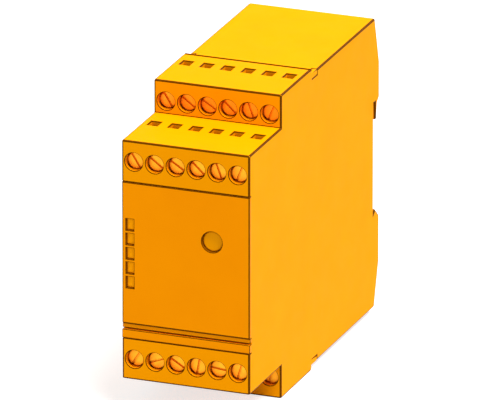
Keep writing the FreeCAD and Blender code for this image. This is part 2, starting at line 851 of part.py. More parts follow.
def terminal_row(row, face, top, bar_reach, turned):
    """One row of terminals, drawn in a frame on its tier's outer front edge."""
    height = f"-{top} - rail_offset" if turned else f"{top} - rail_offset"
    screw_z = "-screw_inset"

    def part_of_row(name):
        return new_body(f"{row}_{name}", y=face, z=height, turned=turned)

    block = part_of_row("terminal_block")
    blank = face_sketch(block, "hood_wall")
    rectangle(
        blank,
        f"-({HALF_WIDTH} - side_wall - fit_gap)",
        f"{HALF_WIDTH} - side_wall - fit_gap",
        f"-{BLOCK_BASE}",
        "-(hood_wall + fit_gap)",
    )
    pad_inward(block, blank, f"{BLOCK_REAR} - hood_wall")
    screw_way = face_sketch(block, "hood_wall")
    box_about(screw_way, FIRST_TERMINAL, screw_z, SCREW_HOLE, SCREW_HOLE)
    screw_cut = pocket(block, screw_way, "wire_inset - hood_wall")
    chamber = plan_sketch(block, "0")
    box_about(
        chamber,
        FIRST_TERMINAL,
        "wire_inset",
        f"({CAGE_WIDTH} + 2 * cage_gap)",
        "(cage_depth + 2 * cage_gap)",
    )
    chamber_cut = pocket(block, chamber, "screw_inset + cage_height / 2")
    bar_slot = plan_sketch(block, "0")
    bar_middle = f"({BAR_FRONT} + bar_thickness / 2)"
    slot_width = "(bar_width + 2 * cage_gap)"
    slot_depth = "(bar_thickness + 2 * fit_gap)"
    box_about(bar_slot, FIRST_TERMINAL, bar_middle, slot_width, slot_depth)
    slot_cut = pocket(block, bar_slot, f"{BLOCK_BASE} + block_floor")
    row_of(block, [screw_cut, chamber_cut, slot_cut], "X_Axis", ROW_LENGTH, TERMINALS)

    cages = part_of_row("clamp_cages")
    tube = plan_sketch(cages, "-(screw_inset + cage_height / 2)")
    box_about(tube, FIRST_TERMINAL, "wire_inset", CAGE_WIDTH, "cage_depth")
    bore_width = f"({CAGE_WIDTH} - 2 * cage_wall)"
    bore_depth = "(cage_depth - 2 * cage_wall)"
    box_about(tube, FIRST_TERMINAL, "wire_inset", bore_width, bore_depth)
    tube_pad = pad(cages, tube, "cage_height")
    thread = face_sketch(cages, "wire_inset - cage_depth / 2")
    many_sided(thread, FIRST_TERMINAL, screw_z, "(screw_thread + fit_gap)", THREAD_SIDES)
    thread_cut = pocket(cages, thread, "cage_wall")
    row_of(cages, [tube_pad, thread_cut], "X_Axis", ROW_LENGTH, TERMINALS)

    screws = part_of_row("terminal_screws")
    head = face_sketch(screws, "screw_recess")
    many_sided(head, FIRST_TERMINAL, screw_z, "screw_head", HEAD_SIDES)
    head_pad = pad_inward(screws, head, "screw_head_height")
    shank = face_sketch(screws, "screw_recess + screw_head_height")
    many_sided(shank, FIRST_TERMINAL, screw_z, "screw_thread", THREAD_SIDES)
    shank_pad = pad_inward(screws, shank, "screw_length")
    slot = face_sketch(screws, "screw_recess")
    box_about(slot, FIRST_TERMINAL, screw_z, "driver_slot", "(screw_head + driver_slot)")
    slot_pocket = pocket(screws, slot, "driver_slot_depth")
    row_of(screws, [head_pad, shank_pad, slot_pocket], "X_Axis", ROW_LENGTH, TERMINALS)

    bars = part_of_row("contact_bars")
    bar_end = "(screw_inset - bar_lap)"
    strip = plan_sketch(bars, f"-{bar_end}")
    box_about(strip, FIRST_TERMINAL, bar_middle, "bar_width", "bar_thickness")
    bar_length = f"{bar_reach} - {bar_end}"
    bar_pad = pad(bars, strip, bar_length, backwards=True)
    row_of(bars, [bar_pad], "X_Axis", ROW_LENGTH, TERMINALS)


def terminal_rows():
    """The four rows: an inner and an outer tier, above and below the panel."""
    inner_reach = f"({BLOCK_BASE} + board_gap)"
    outer_reach = f"({inner_reach} + {TIER_HEIGHT})"
    for name, turned in (("upper", False), ("lower", True)):
        terminal_row(f"{name}_front", FACE, TIER_TOP, inner_reach, turned)
        terminal_row(f"{name}_rear", TIER_FACE, HALF_HEIGHT, outer_reach, turned)


def terminal_board(name, turned):
    """A level board that takes the contact bars of two rows."""
    level = f"({TERMINAL_BOARD_Z} + board_thickness)"
    height = f"-{level} - rail_offset" if turned else f"{level} - rail_offset"
    body = new_body(name, z=height, turned=turned)
    plate = plan_sketch(body, "-board_thickness")
    rectangle(
        plate,
        f"-({HALF_WIDTH} - side_wall - 2 * fit_gap)",
        f"{HALF_WIDTH} - side_wall - 2 * fit_gap",
        f"{FACE} + terminal_board_inset",
        f"{SPLIT} - tongue_length - fit_gap",
    )
    pad(body, plate, "board_thickness")


def side_board(name, side):
    """An upright board along one side: wide in the pot, narrow between the terminal boards."""
    body = new_body(name, z="-rail_offset")
    offset = BOARD_FACE if side > 0 else f"-({BOARD_FACE} + board_thickness)"
    outline = side_sketch(body, offset)
    front = f"({FACE} + {DISPLAY_REAR} + board_gap)"
    shoulder = f"({SPLIT} + guide_wall)"
    rear = "(-pot_wall - board_gap)"
    narrow = f"({TERMINAL_BOARD_Z} - board_gap)"
    wide = f"({REAR_HALF_HEIGHT} - pot_wall - board_gap)"
    upper = [(front, narrow), (shoulder, narrow), (shoulder, wide), (rear, wide)]
    polygon(outline, upper + [(y, f"-{z}") for y, z in reversed(upper)])
    pad(body, outline, "board_thickness")


def display_board():
    """The board behind the panel: it carries the lamps and the reset switch."""
    body = front_body("display_board")
    plate = face_sketch(body, DISPLAY_FRONT)
    width = f"(2 * ({HALF_WIDTH} - side_wall - 2 * fit_gap))"
    box_about(plate, "0", "0", width, f"(2 * ({HALF_PANEL} - carrier_lap))")
    pad_inward(body, plate, "board_thickness")


def board_parts():
    """The plug and header strips that join the boards, and the two processors."""
    plug = front_body("display_plug")
    block = face_sketch(plug, DISPLAY_REAR)
    rectangle(
        block,
        f"-{BOARD_FACE}",
        f"-{BOARD_FACE} + 2 * header_size",
        "-plug_length / 2",
        "plug_length / 2",
    )
    pad_inward(plug, block, "3 * header_size")

    headers = new_body("board_headers", z="-rail_offset")
    strips = face_sketch(headers, f"{TIER_FACE} - header_length / 2")
    for side in ("-", ""):
        for end in ("-", ""):
            rectangle(
                strips,
                f"{side}({BOARD_FACE} - header_size)",
                f"{side}{BOARD_FACE}",
                f"{end}({TERMINAL_BOARD_Z} - header_size)",
                f"{end}{TERMINAL_BOARD_Z}",
            )
    pad_inward(headers, strips, "header_length")

    chips = new_body("logic_chips", z="-rail_offset")
    cases = side_sketch(chips, f"-{BOARD_FACE}")
    for step in (-1, 1):
        box_about(
            cases,
            f"({TIER_FACE} + chip_size + {step} * chip_spacing / 2)",
            "0",
            "chip_size",
            "chip_size",
        )
    pad(chips, cases, "chip_height")


def relays():
    """The sealed relays, side by side on the right-hand board."""
    for index in range(RELAYS):
        body = new_body(f"safety_relay_{index + 1}")
        foot = side_sketch(body, f"{BOARD_FACE} - relay_height")
        middle = f"(-pot_wall - relay_margin - relay_width / 2 - {index} * relay_spacing)"
        base = f"({POT_BOTTOM} + pot_wall + guide_height + guide_wall)"
        rectangle(
            foot,
            f"{middle} - relay_width / 2",
            f"{middle} + relay_width / 2",
            base,
            f"{base} + relay_length",
        )
        pad(body, foot, "relay_height")
        top = value(f"{BOARD_FACE} - relay_height")
        chamfer(body, "relay_bevel", lambda edge, top=top: abs(edge.BoundBox.XMax - top) < TOLERANCE)


def transformer():
    """The mains transformer on the left-hand board: core, bobbin and winding."""
    middle_z = f"({POT_TOP} - pot_wall - component_margin - core_length / 2)"
    middle_y = "(-pot_wall - component_margin - winding_depth / 2)"
    core_base = f"(-{BOARD_FACE} + bobbin_base)"
    yoke = "core_leg"
    window = "((core_length - 4 * core_leg) / 2)"
    leg = "(2 * core_leg)"

    core = new_body("transformer_core", x=core_base, y=middle_y, z=middle_z)
    plate = face_sketch(core, "-core_stack / 2")
    rectangle(plate, "0", "core_height", "-core_length / 2", "core_length / 2")
    for side in ("-", ""):
        rectangle(
            plate,
            yoke,
            f"core_height - {yoke}",
            f"{side}{leg} / 2",
            f"{side}({leg} / 2 + {window})",
        )
    pad_inward(core, plate, "core_stack")

    bobbin = new_body("transformer_bobbin", x=core_base, y=middle_y, z=middle_z)
    spool_outer_y = "(core_stack + 2 * bobbin_wall + 2 * board_gap)"
    spool_outer_z = f"({leg} + 2 * bobbin_wall + 2 * board_gap)"
    flange_z = f"({leg} + 2 * {window} - 2 * board_gap)"
    hole_y = "(core_stack + 2 * board_gap)"
    hole_z = f"({leg} + 2 * board_gap)"
    spool = side_sketch(bobbin, f"{yoke} + board_gap")
    box_about(spool, "0", "0", spool_outer_y, spool_outer_z)
    box_about(spool, "0", "0", hole_y, hole_z)
    spool_length = f"(core_height - 2 * {yoke} - 2 * board_gap)"
    pad(bobbin, spool, spool_length)
    for start in (f"{yoke} + board_gap", f"core_height - {yoke} - board_gap - bobbin_wall"):
        flange = side_sketch(bobbin, start)
        box_about(flange, "0", "0", "winding_depth", flange_z)
        box_about(flange, "0", "0", hole_y, hole_z)
        pad(bobbin, flange, "bobbin_wall")
    feet = side_sketch(bobbin, "-bobbin_base")
    for side in ("-", ""):
        rectangle(
            feet,
            f"{side}({hole_y} / 2)",
            f"{side}winding_depth / 2",
            f"-{flange_z} / 2",
            f"{flange_z} / 2",
        )
    pad(bobbin, feet, f"bobbin_base + {yoke} + board_gap + bobbin_wall / 2")

    winding = new_body("transformer_winding", x=core_base, y=middle_y, z=middle_z)
    coil = side_sketch(winding, f"{yoke} + board_gap + bobbin_wall")
    box_about(coil, "0", "0", "(winding_depth - bobbin_wall)", f"({flange_z} - bobbin_wall)")
    box_about(coil, "0", "0", spool_outer_y, spool_outer_z)
    pad(winding, coil, f"{spool_length} - 2 * bobbin_wall")


def supply_parts():
    """The smoothing capacitors and the input fuse beside the transformer."""
    cans = new_body("smoothing_capacitors")
    ends = side_sketch(cans, f"-{BOARD_FACE}")
    can_y = "(-pot_wall - 2 * component_margin - winding_depth - can_diameter / 2)"
    can_top = f"({POT_TOP} - pot_wall - component_margin - can_diameter)"
    for index in range(2):
        circle(ends, can_y, f"({can_top} - {index} * can_spacing)", "can_diameter")
    pad(cans, ends, "can_height")

    fuse = new_body("input_fuse")
    case = side_sketch(fuse, f"-{BOARD_FACE}")
    box_about(case, can_y, f"({can_top} - 2 * can_spacing)", "fuse_width", "fuse_width")
    pad(fuse, case, "fuse_height")


def check(things):
    """Stop if anything failed to compute or is not a sound solid."""
    for thing in doc.Objects:
        if "Invalid" in thing.State or "Error" in thing.State:
            raise RuntimeError(f"{thing.Label} did not compute: {thing.State}")
    for thing in things:
        if thing.Shape.isNull() or not thing.Shape.isValid() or not thing.Shape.Solids:
            raise RuntimeError(f"{thing.Label} is not a sound solid")


def main():
    """Build every sub-part, check them and write their files."""
    front_housing()
    rear_housing()
    panel_carrier()
    front_cover()
    status_lenses()
    reset_button()
    reset_switch()
    switch_plunger()
    status_leds()
    rail_latch()
    latch_spring()
    terminal_rows()
    terminal_board("upper_terminal_board", turned=False)
    terminal_board("lower_terminal_board", turned=True)
    side_board("main_board", side=-1)
    side_board("relay_board", side=1)
    display_board()
    board_parts()
    relays()
    transformer()
    supply_parts()
    doc.recompute()
    check(PARTS)
    os.makedirs("parts", exist_ok=True)
    for thing in PARTS:
        thing.Shape.exportStep(os.path.join("parts", f"{thing.Label}.step"))


main()
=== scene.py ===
"""Dresses the rail-mounted safety relay: shells, terminals, lenses, reset button, latch and inner parts."""

import json
import logging
import math
from abc import ABC, abstractmethod
from dataclasses import dataclass
from enum import Enum
from functools import cache
from typing import Callable, Sequence

import bmesh
import bpy
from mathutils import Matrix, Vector


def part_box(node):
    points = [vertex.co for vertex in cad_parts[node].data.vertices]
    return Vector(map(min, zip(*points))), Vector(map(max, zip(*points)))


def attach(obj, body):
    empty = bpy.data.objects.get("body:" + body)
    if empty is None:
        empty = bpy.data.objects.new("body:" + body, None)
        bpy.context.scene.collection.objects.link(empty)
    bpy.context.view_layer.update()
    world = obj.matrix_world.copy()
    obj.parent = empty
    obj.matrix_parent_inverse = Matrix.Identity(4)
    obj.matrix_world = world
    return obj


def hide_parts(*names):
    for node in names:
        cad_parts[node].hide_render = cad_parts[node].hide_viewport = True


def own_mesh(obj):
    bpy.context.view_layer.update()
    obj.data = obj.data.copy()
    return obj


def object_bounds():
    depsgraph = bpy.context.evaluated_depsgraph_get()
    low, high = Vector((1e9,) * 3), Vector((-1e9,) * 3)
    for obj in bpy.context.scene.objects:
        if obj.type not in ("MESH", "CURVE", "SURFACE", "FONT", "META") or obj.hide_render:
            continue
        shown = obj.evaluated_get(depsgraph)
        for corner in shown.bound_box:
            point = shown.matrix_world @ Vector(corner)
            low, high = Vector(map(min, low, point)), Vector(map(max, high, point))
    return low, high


logging.basicConfig(level=logging.INFO, format="%(message)s")
log = logging.getLogger("safety_relay")

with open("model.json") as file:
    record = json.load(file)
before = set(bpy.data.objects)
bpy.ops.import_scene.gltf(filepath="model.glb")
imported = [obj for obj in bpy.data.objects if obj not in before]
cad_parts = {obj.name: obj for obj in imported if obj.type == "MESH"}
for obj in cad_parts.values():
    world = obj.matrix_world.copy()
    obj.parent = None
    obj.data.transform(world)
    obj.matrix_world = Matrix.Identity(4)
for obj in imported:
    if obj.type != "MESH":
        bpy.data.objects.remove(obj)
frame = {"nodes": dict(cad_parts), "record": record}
CAD_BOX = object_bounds()

MM = 0.001
TERMINALS = 6
TERMINAL_PITCH = 7.29
LENSES = 5
RELAYS = 3
SHARP = 30.0
LIP = 60.0
WHITE = (1.0, 1.0, 1.0)
EVEN = (1.0, 1.0, 1.0)

Piece = bpy.types.Object
Socket = bpy.types.NodeSocket
Colour = tuple[float, float, float]
Point = tuple[float, float, float]
Pair = tuple[float, float]
Test = Callable[[Vector, Vector], bool]


class Body(Enum):
    """The rigid bodies that pieces ride on."""

    HOUSING = "housing"
    RESET_BUTTON = "reset_button"
    RAIL_LATCH = "rail_latch"


class Axis(Enum):
    """A world axis."""

    X = 0
    Y = 1
    Z = 2

    @property
    def way(self) -> Vector:
        """The axis as a unit vector."""
        return Vector([float(index == self.value) for index in range(3)])

    @property
    def turn(self) -> Point:
        """The rotation that lays a primitive's own Z along this axis."""
        quarter = math.pi / 2
        return {Axis.X: (0.0, quarter, 0.0), Axis.Y: (-quarter, 0.0, 0.0), Axis.Z: (0.0, 0.0, 0.0)}[self]


class Row(Enum):
    """The four terminal rows."""

    UPPER_FRONT = "upper_front"
    UPPER_REAR = "upper_rear"
    LOWER_FRONT = "lower_front"
    LOWER_REAR = "lower_rear"

    @property
    def upward(self) -> float:
        """1 where the wires enter from above, or -1 from below."""
        return 1.0 if self.value.startswith("upper") else -1.0


# ------------------------------------------------------------ modelling by hand


def facing(axis: Axis, sign: int) -> Test:
    """The test for faces that look one way along an axis."""
    return lambda centre, normal: normal[axis.value] * sign > 0.9


def along(axis: Axis, least: float = 1.0) -> Test:
    """The test for edges that run along an axis by more than a length in millimetres."""
    return lambda a, b: abs(a[axis.value] - b[axis.value]) > least


LEFT, RIGHT = facing(Axis.X, -1), facing(Axis.X, 1)
FRONT, REAR = facing(Axis.Y, -1), facing(Axis.Y, 1)
UNDER = facing(Axis.Z, -1)


def lattice(*rows: tuple[Axis, float, int]) -> list[Vector]:
    """Lists evenly spaced places, the first at zero.

    Args:
        rows: For each direction its axis, step in millimetres and number of places, the slowest first.

    Returns:
        The places in millimetres.
    """
    places = [Vector()]
    for axis, step, count in rows:
        places = [spot + axis.way * step * index for spot in places for index in range(count)]
    return places


def deselect() -> None:
    """Leaves edit mode and deselects every object."""
    if bpy.context.object is not None and bpy.context.object.mode != "OBJECT":
        bpy.ops.object.mode_set(mode="OBJECT")
    bpy.ops.object.select_all(action="DESELECT")


def hold(piece: Piece) -> None:
    """Selects one piece and makes it the active one.

    Args:
        piece: The piece.
    """
    deselect()
    piece.select_set(True)
    bpy.context.view_layer.objects.active = piece


def settle(name: str) -> Piece:
    """Names the active piece and moves its place into its mesh.

    Args:
        name: The piece's name.

    Returns:
        The piece, with its object at the origin, unturned and unscaled.
    """
    piece = bpy.context.object
    piece.name = piece.data.name = name
    bpy.ops.object.transform_apply(location=True, rotation=True, scale=True)
    return piece


def span(node: str) -> tuple[Vector, Vector]:
    """Lowest and highest corner of a CAD node, in millimetres."""
    low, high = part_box(node)
    return low / MM, high / MM


def block(name: str, low: Sequence[float], high: Sequence[float]) -> Piece:
    """Adds a cuboid between two corners.

    Args:
        name: The piece's name.
        low: Lowest corner in millimetres.
        high: Highest corner in millimetres.

    Returns:
        The cuboid.
    """
    deselect()
    middle = [(a + b) / 2 * MM for a, b in zip(low, high)]
    bpy.ops.mesh.primitive_cube_add(size=1.0, location=middle)
    bpy.context.object.scale = [(b - a) * MM for a, b in zip(low, high)]
    return settle(name)


def rod(
    name: str, start: Sequence[float], length: float, radius: float, axis: Axis, sides: int = 12
) -> Piece:
    """Adds a cylinder that runs along an axis.

    Args:
        name: The piece's name.
        start: Middle of its lowest end, in millimetres.
        length: Length in millimetres.
        radius: Radius in millimetres.
        axis: The axis it runs along.
        sides: Number of flats round it.

    Returns:
        The cylinder.
    """
    deselect()
    middle = (Vector(start) + axis.way * length / 2) * MM
    bpy.ops.mesh.primitive_cylinder_add(
        vertices=sides, radius=radius * MM, depth=length * MM, location=middle, rotation=axis.turn
    )
    return settle(name)


def outline(name: str, points: Sequence[Sequence[float]]) -> Piece:
    """Draws a line of edges through points, from a plane merged to one corner.

    Args:
        name: The piece's name.
        points: The points in millimetres.

    Returns:
        The line.
    """
    deselect()
    bpy.ops.mesh.primitive_plane_add(size=MM, location=Vector(points[0]) * MM)
    piece = settle(name)
    with Shaping(piece) as shape:
        shape.everything()
        bpy.ops.mesh.merge(type="CENTER")
        for before, after in zip(points, points[1:]):
            shape.extrude(Vector(after) - Vector(before))
    return piece


def lathe(name: str, points: Sequence[Pair], centre: Sequence[float], axis: Axis, sides: int) -> Piece:
    """Spins a profile round an axis.

    Args:
        name: The piece's name.
        points: Distance along the axis and radius, in millimetres, from pole to pole.
        centre: A point on the axis.
        axis: The axis.
        sides: Number of flats round it.

    Returns:
        The turned piece, closed, with its faces outwards.
    """
    across = Axis((axis.value + 1) % 3).way
    piece = outline(name, [Vector(centre) + axis.way * far + across * radius for far, radius in points])
    with Shaping(piece) as shape:
        shape.everything()
        bpy.ops.mesh.spin(steps=sides, angle=2 * math.pi, center=Vector(centre) * MM, axis=axis.way)
        shape.close()
    return piece


class Shaping:
    """Shapes one piece in edit mode: faces or edges are picked by their place, then worked on."""

    def __init__(self, piece: Piece) -> None:
        """Notes the piece to shape."""
        self.piece = piece

    def __enter__(self) -> "Shaping":
        """Opens the piece in edit mode with nothing selected."""
        hold(self.piece)
        bpy.ops.object.mode_set(mode="EDIT")
        bpy.ops.mesh.select_all(action="DESELECT")
        return self

    def __exit__(self, *_: object) -> None:
        """Goes back to object mode."""
        bpy.ops.object.mode_set(mode="OBJECT")

    def everything(self) -> "Shaping":
        """Selects the whole mesh."""
        bpy.ops.mesh.select_mode(type="VERT")
        bpy.ops.mesh.select_all(action="SELECT")
        return self

    def pick(self, kind: str, wanted: Callable[..., bool]) -> "Shaping":
        """Selects the faces or the edges that pass a test.

        Args:
            kind: FACE or EDGE.
            wanted: The test of one face or edge.

        Returns:
            This shaping.
        """
        bpy.ops.mesh.select_mode(type=kind)
        bpy.ops.mesh.select_all(action="DESELECT")
        mesh = bmesh.from_edit_mesh(self.piece.data)
        for element in mesh.faces if kind == "FACE" else mesh.edges:
            element.select_set(wanted(element))
        mesh.select_flush_mode()
        bmesh.update_edit_mesh(self.piece.data)
        return self

    def faces(self, wanted: Test) -> "Shaping":
        """Selects the faces whose centre, in millimetres, and normal pass a test."""
        return self.pick("FACE", lambda face: wanted(face.calc_center_median() / MM, face.normal))

    def edges(self, wanted: Test, sharper: float = -1.0) -> "Shaping":
        """Selects the edges that turn by more than an angle and whose ends, in millimetres, pass a test.

        Args:
            wanted: The test of an edge's two ends.
            sharper: The angle in degrees; at -1 every edge turns by more.

        Returns:
            This shaping.
        """
        least = math.radians(sharper)
        return self.pick("EDGE", lambda edge: (
            edge.calc_face_angle(0.0) > least and wanted(edge.verts[0].co / MM, edge.verts[1].co / MM)
        ))

    def inset(self, width: float, depth: float = 0.0, each: bool = False) -> "Shaping":
        """Insets the selected faces, together or each by itself, and sinks them by a depth."""
        bpy.ops.mesh.inset(thickness=width * MM, depth=-depth * MM, use_individual=each)
        return self

    def extrude(self, offset: Sequence[float]) -> "Shaping":
        """Extrudes the selection by an offset in millimetres."""
        bpy.ops.mesh.extrude_region_move(TRANSFORM_OT_translate={"value": Vector(offset) * MM})
        return self

    def scale(self, factors: Sequence[float], about: Sequence[float]) -> "Shaping":
        """Scales the selection about a point in millimetres."""
        bpy.ops.transform.resize(value=Vector(factors), center_override=Vector(about) * MM)
        return self

    def turn(self, degrees: float, axis: Axis, about: Sequence[float]) -> "Shaping":
        """Turns the selection round an axis through a point in millimetres.

        Args:
            degrees: How far it turns.
            axis: The axis.
            about: The point.

        Returns:
            This shaping.
        """
        bpy.ops.transform.rotate(
            value=math.radians(degrees), orient_axis=axis.name, center_override=Vector(about) * MM
        )
        return self

    def bevel(self, width: float, segments: int, finish: int = -1) -> "Shaping":
        """Bevels the selected edges, in one of the piece's finishes or, at -1, in their neighbours'.

        Args:
            width: Width of the bevel in millimetres.
            segments: Number of strips over it.
            finish: Number of the finish.

        Returns:
            This shaping.
        """
        bpy.ops.mesh.bevel(
            offset=width * MM, segments=segments, affect="EDGES", material=finish,
            loop_slide=False, clamp_overlap=False,
        )
        return self

    def finish(self, index: int) -> "Shaping":
        """Gives the selected faces one of the piece's finishes.

        Args:
            index: Number of the finish, from 0.

        Returns:
            This shaping.
        """
        self.piece.active_material_index = index
        bpy.ops.object.material_slot_assign()
        return self

    def bisect(self, point: Sequence[float], axis: Axis) -> "Shaping":
        """Cuts new edges across the selection at a point."""
        bpy.ops.mesh.bisect(plane_co=Vector(point) * MM, plane_no=axis.way)
        return self

    def close(self) -> "Shaping":
        """Merges doubles, fills open ends and turns the faces outwards."""
        self.everything()
        bpy.ops.mesh.remove_doubles(threshold=1e-7)
        bpy.ops.mesh.select_all(action="DESELECT")
        bpy.ops.mesh.select_non_manifold(extend=False)
        bpy.ops.mesh.fill_holes(sides=0)
        self.everything()
        bpy.ops.mesh.normals_make_consistent(inside=False)
        return self


def modify(piece: Piece, kind: str, **settings: object) -> None:
    """Adds one modifier to a piece and applies it.

    Args:
        piece: The piece.
        kind: The modifier's type.
        settings: Its settings by name.
    """
    hold(piece)
    modifier = piece.modifiers.new(kind.lower(), kind)
    for key, value in settings.items():
        setattr(modifier, key, value)
    bpy.ops.object.modifier_apply(modifier=modifier.name)


def join(name: str, parts: Sequence[Piece]) -> Piece:
    """Joins parts into one piece.

    Args:
        name: The piece's name.
        parts: The parts, at least one.

    Returns:
        The piece.
    """
    deselect()
    for part in parts:
        part.select_set(True)
    bpy.context.view_layer.objects.active = parts[0]
    if len(parts) > 1:
        bpy.ops.object.join()
    piece = bpy.context.object
    piece.name = piece.data.name = name
    return piece


def combine(piece: Piece, other: Piece, operation: str = "DIFFERENCE") -> Piece:
    """Cuts or unites a piece with another, which is then removed.

    Args:
        piece: The piece.
        other: The other piece.
        operation: DIFFERENCE or UNION.

    Returns:
        The piece.
    """
    modify(piece, "BOOLEAN", object=other, operation=operation, solver="EXACT")
    bpy.data.objects.remove(other)
    return piece


def copied(piece: Piece, offset: Sequence[float]) -> Piece:
    """Copies a piece, with its own mesh, to a place that an offset in millimetres gives.

    Args:
        piece: The piece.
        offset: How far the copy stands from it.

    Returns:
        The copy.
    """
    hold(piece)
    bpy.ops.object.duplicate()
    bpy.ops.transform.translate(value=Vector(offset) * MM)
    return settle(piece.name)


def array(name: str, first: Piece, offsets: Sequence[Sequence[float]]) -> Piece:
    """Joins copies of a part at several places, and removes the part itself.

    Args:
        name: The joined piece's name.
        first: The part.
        offsets: How far each copy stands from it, in millimetres.

    Returns:
        The joined piece.
    """
    copies = [copied(first, offset) for offset in offsets]
    bpy.data.objects.remove(first)
    return join(name, copies)


def smooth(piece: Piece, angle: float = 35.0) -> Piece:
    """Drops faces of no area and shades a piece smooth, with its sharper edges kept and its flats flat.

    Args:
        piece: The piece.
        angle: The angle in degrees past which an edge stays sharp.

    Returns:
        The piece.
    """
    with Shaping(piece) as shape:
        shape.everything()
        bpy.ops.mesh.dissolve_degenerate(threshold=1e-6)
    hold(piece)
    bpy.ops.object.shade_smooth_by_angle(angle=math.radians(angle))
    modify(piece, "WEIGHTED_NORMAL", weight=100, keep_sharp=True)
    return piece


def soften(piece: Piece, width: float, segments: int = 2) -> Piece:
    """Rounds every sharp edge of a piece, and shades it smooth.

    Args:
        piece: The piece.
        width: Width of the rounding in millimetres.
        segments: Number of strips over the rounding.

    Returns:
        The piece.
    """
    modify(
        piece, "BEVEL", width=width * MM, segments=segments, limit_method="ANGLE",
        angle_limit=math.radians(SHARP), use_clamp_overlap=False, loop_slide=False,
    )
    return smooth(piece)


def stepped(piece: Piece, wanted: Test, *steps: Pair) -> Piece:
    """Insets some faces of a piece, by one width and depth after another.

    Args:
        piece: The piece.
        wanted: The test of the faces.
        steps: The width of each inset, and how far it sinks, in millimetres.

    Returns:
        The piece.
    """
    with Shaping(piece) as shape:
        shape.faces(wanted)
        for width, depth in steps:
            shape.inset(width, depth)
    return piece


def merged_copy(node: str, name: str) -> Piece:
    """Copies a CAD node's mesh, with its loose triangles merged into whole flat faces.

    Args:
        node: The CAD node.
        name: The copy's name.

    Returns:
        The copy.
    """
    piece = bpy.data.objects.new(name, frame["nodes"][node].data.copy())
    bpy.context.scene.collection.objects.link(piece)
    piece.data.name = name
    piece.data.materials.clear()
    hold(piece)
    bpy.ops.mesh.customdata_custom_splitnormals_clear()
    with Shaping(piece) as shape:
        shape.everything()
        bpy.ops.mesh.remove_doubles(threshold=1e-6)
        bpy.ops.mesh.mark_sharp(clear=True)
        bpy.ops.mesh.dissolve_limited(angle_limit=math.radians(0.4))
    return piece


# ------------------------------------------------------------------- finishes


def shade(colour: Colour, factor: float) -> Colour:
    """A colour made darker or lighter, kept within 0 to 1."""
    return tuple(max(0.0, min(1.0, part * factor)) for part in colour)


def solid(colour: Colour) -> tuple[float, float, float, float]:
    """A colour with full opacity."""
    return (*colour, 1.0)


class Sheet:
    """A material's node tree, with short calls to fill it."""

    def __init__(self, name: str) -> None:
        """Starts a material with a shader and an output.

        Args:
            name: The material's name.
        """
        self.material = bpy.data.materials.new(name)
        self.material.use_nodes = True
        self.tree = self.material.node_tree
        self.shader = self.tree.nodes["Principled BSDF"]
        self.place = self.add("TexCoord").outputs["Object"]

    def add(self, kind: str, **settings: object) -> bpy.types.Node:
        """Adds a node.

        Args:
            kind: The node's type without its ShaderNode prefix.
            settings: Socket values or links by name, with underscores for spaces, or node settings.

        Returns:
            The node.
        """
        node = self.tree.nodes.new("ShaderNode" + kind)
        for key, value in settings.items():
            words = key.replace("_", " ").lower()
            socket = next((item for item in node.inputs if item.name.lower() == words and item.enabled), None)
            if socket is None:
                setattr(node, key, value)
            else:
                self.feed(socket, value)
        return node

    def feed(self, socket: Socket, value: object) -> None:
        """Sets a socket, or links it where the value is another node's output.

        Args:
            socket: The socket.
            value: The value or output.
        """
        if isinstance(value, Socket):
            self.tree.links.new(value, socket)
        else:
            socket.default_value = value

    def set(self, **inputs: object) -> None:
        """Sets or links the shader's own sockets by name."""
        for key, value in inputs.items():
            self.feed(self.shader.inputs[key.replace("_", " ")], value)

    def scaled(self, size: float, stretch: Point = EVEN) -> Socket:
        """Object coordinates counted in blobs of a size in millimetres."""
        rate = [part / (size * MM) for part in stretch]
        return self.add("Mapping", Vector=self.place, Scale=rate).outputs["Vector"]

    def noise(self, size: float, detail: float = 2.0, stretch: Point = EVEN) -> Socket:
        """Noise whose blobs are about a given size.

        Args:
            size: Size of a blob in millimetres.
            detail: Octaves of finer noise.
            stretch: Factor on each axis's frequency.

        Returns:
            The noise, from 0 to 1.
        """
        node = self.add("TexNoise", Vector=self.scaled(size, stretch), Scale=1.0, Detail=detail)
        return node.outputs["Fac"]

    def bands(self, size: float, axis: Axis, distortion: float) -> Socket:
        """Even bands across an axis.

        Args:
            size: Distance between bands in millimetres.
            axis: The axis that they follow one another along.
            distortion: How far they waver.

        Returns:
            The bands, from 0 to 1.
        """
        node = self.add("TexWave", Vector=self.scaled(size), Scale=math.pi / 10.0, Distortion=distortion)
        node.bands_direction = axis.name
        return node.outputs["Fac"]

    def ramp(self, value: Socket, stops: Sequence[tuple[float, Colour]]) -> Socket:
        """Colours by a value, from stops of position and colour.

        Args:
            value: The value, from 0 to 1.
            stops: The two stops.

        Returns:
            The colour.
        """
        node = self.add("ValToRGB", Fac=value)
        for element, (position, colour) in zip(node.color_ramp.elements, stops):
            element.position = position
            element.color = solid(colour)
        return node.outputs["Color"]

    def spread(self, value: Socket, low: float, high: float) -> Socket:
        """Spreads a value from 0..1 over a range."""
        return self.add("MapRange", Value=value, To_Min=low, To_Max=high).outputs["Result"]

    def bump(self, height: Socket, depth: float) -> None:
        """Raises the surface by a height from 0 to 1, where 1 stands for a depth in millimetres.

        Args:
            height: The height.
            depth: The depth.
        """
        normal = self.shader.inputs["Normal"]
        node = self.add("Bump", Height=height, Strength=1.0, Distance=depth * MM)
        if normal.is_linked:
            self.tree.links.new(normal.links[0].from_socket, node.inputs["Normal"])
        self.tree.links.new(node.outputs["Normal"], normal)


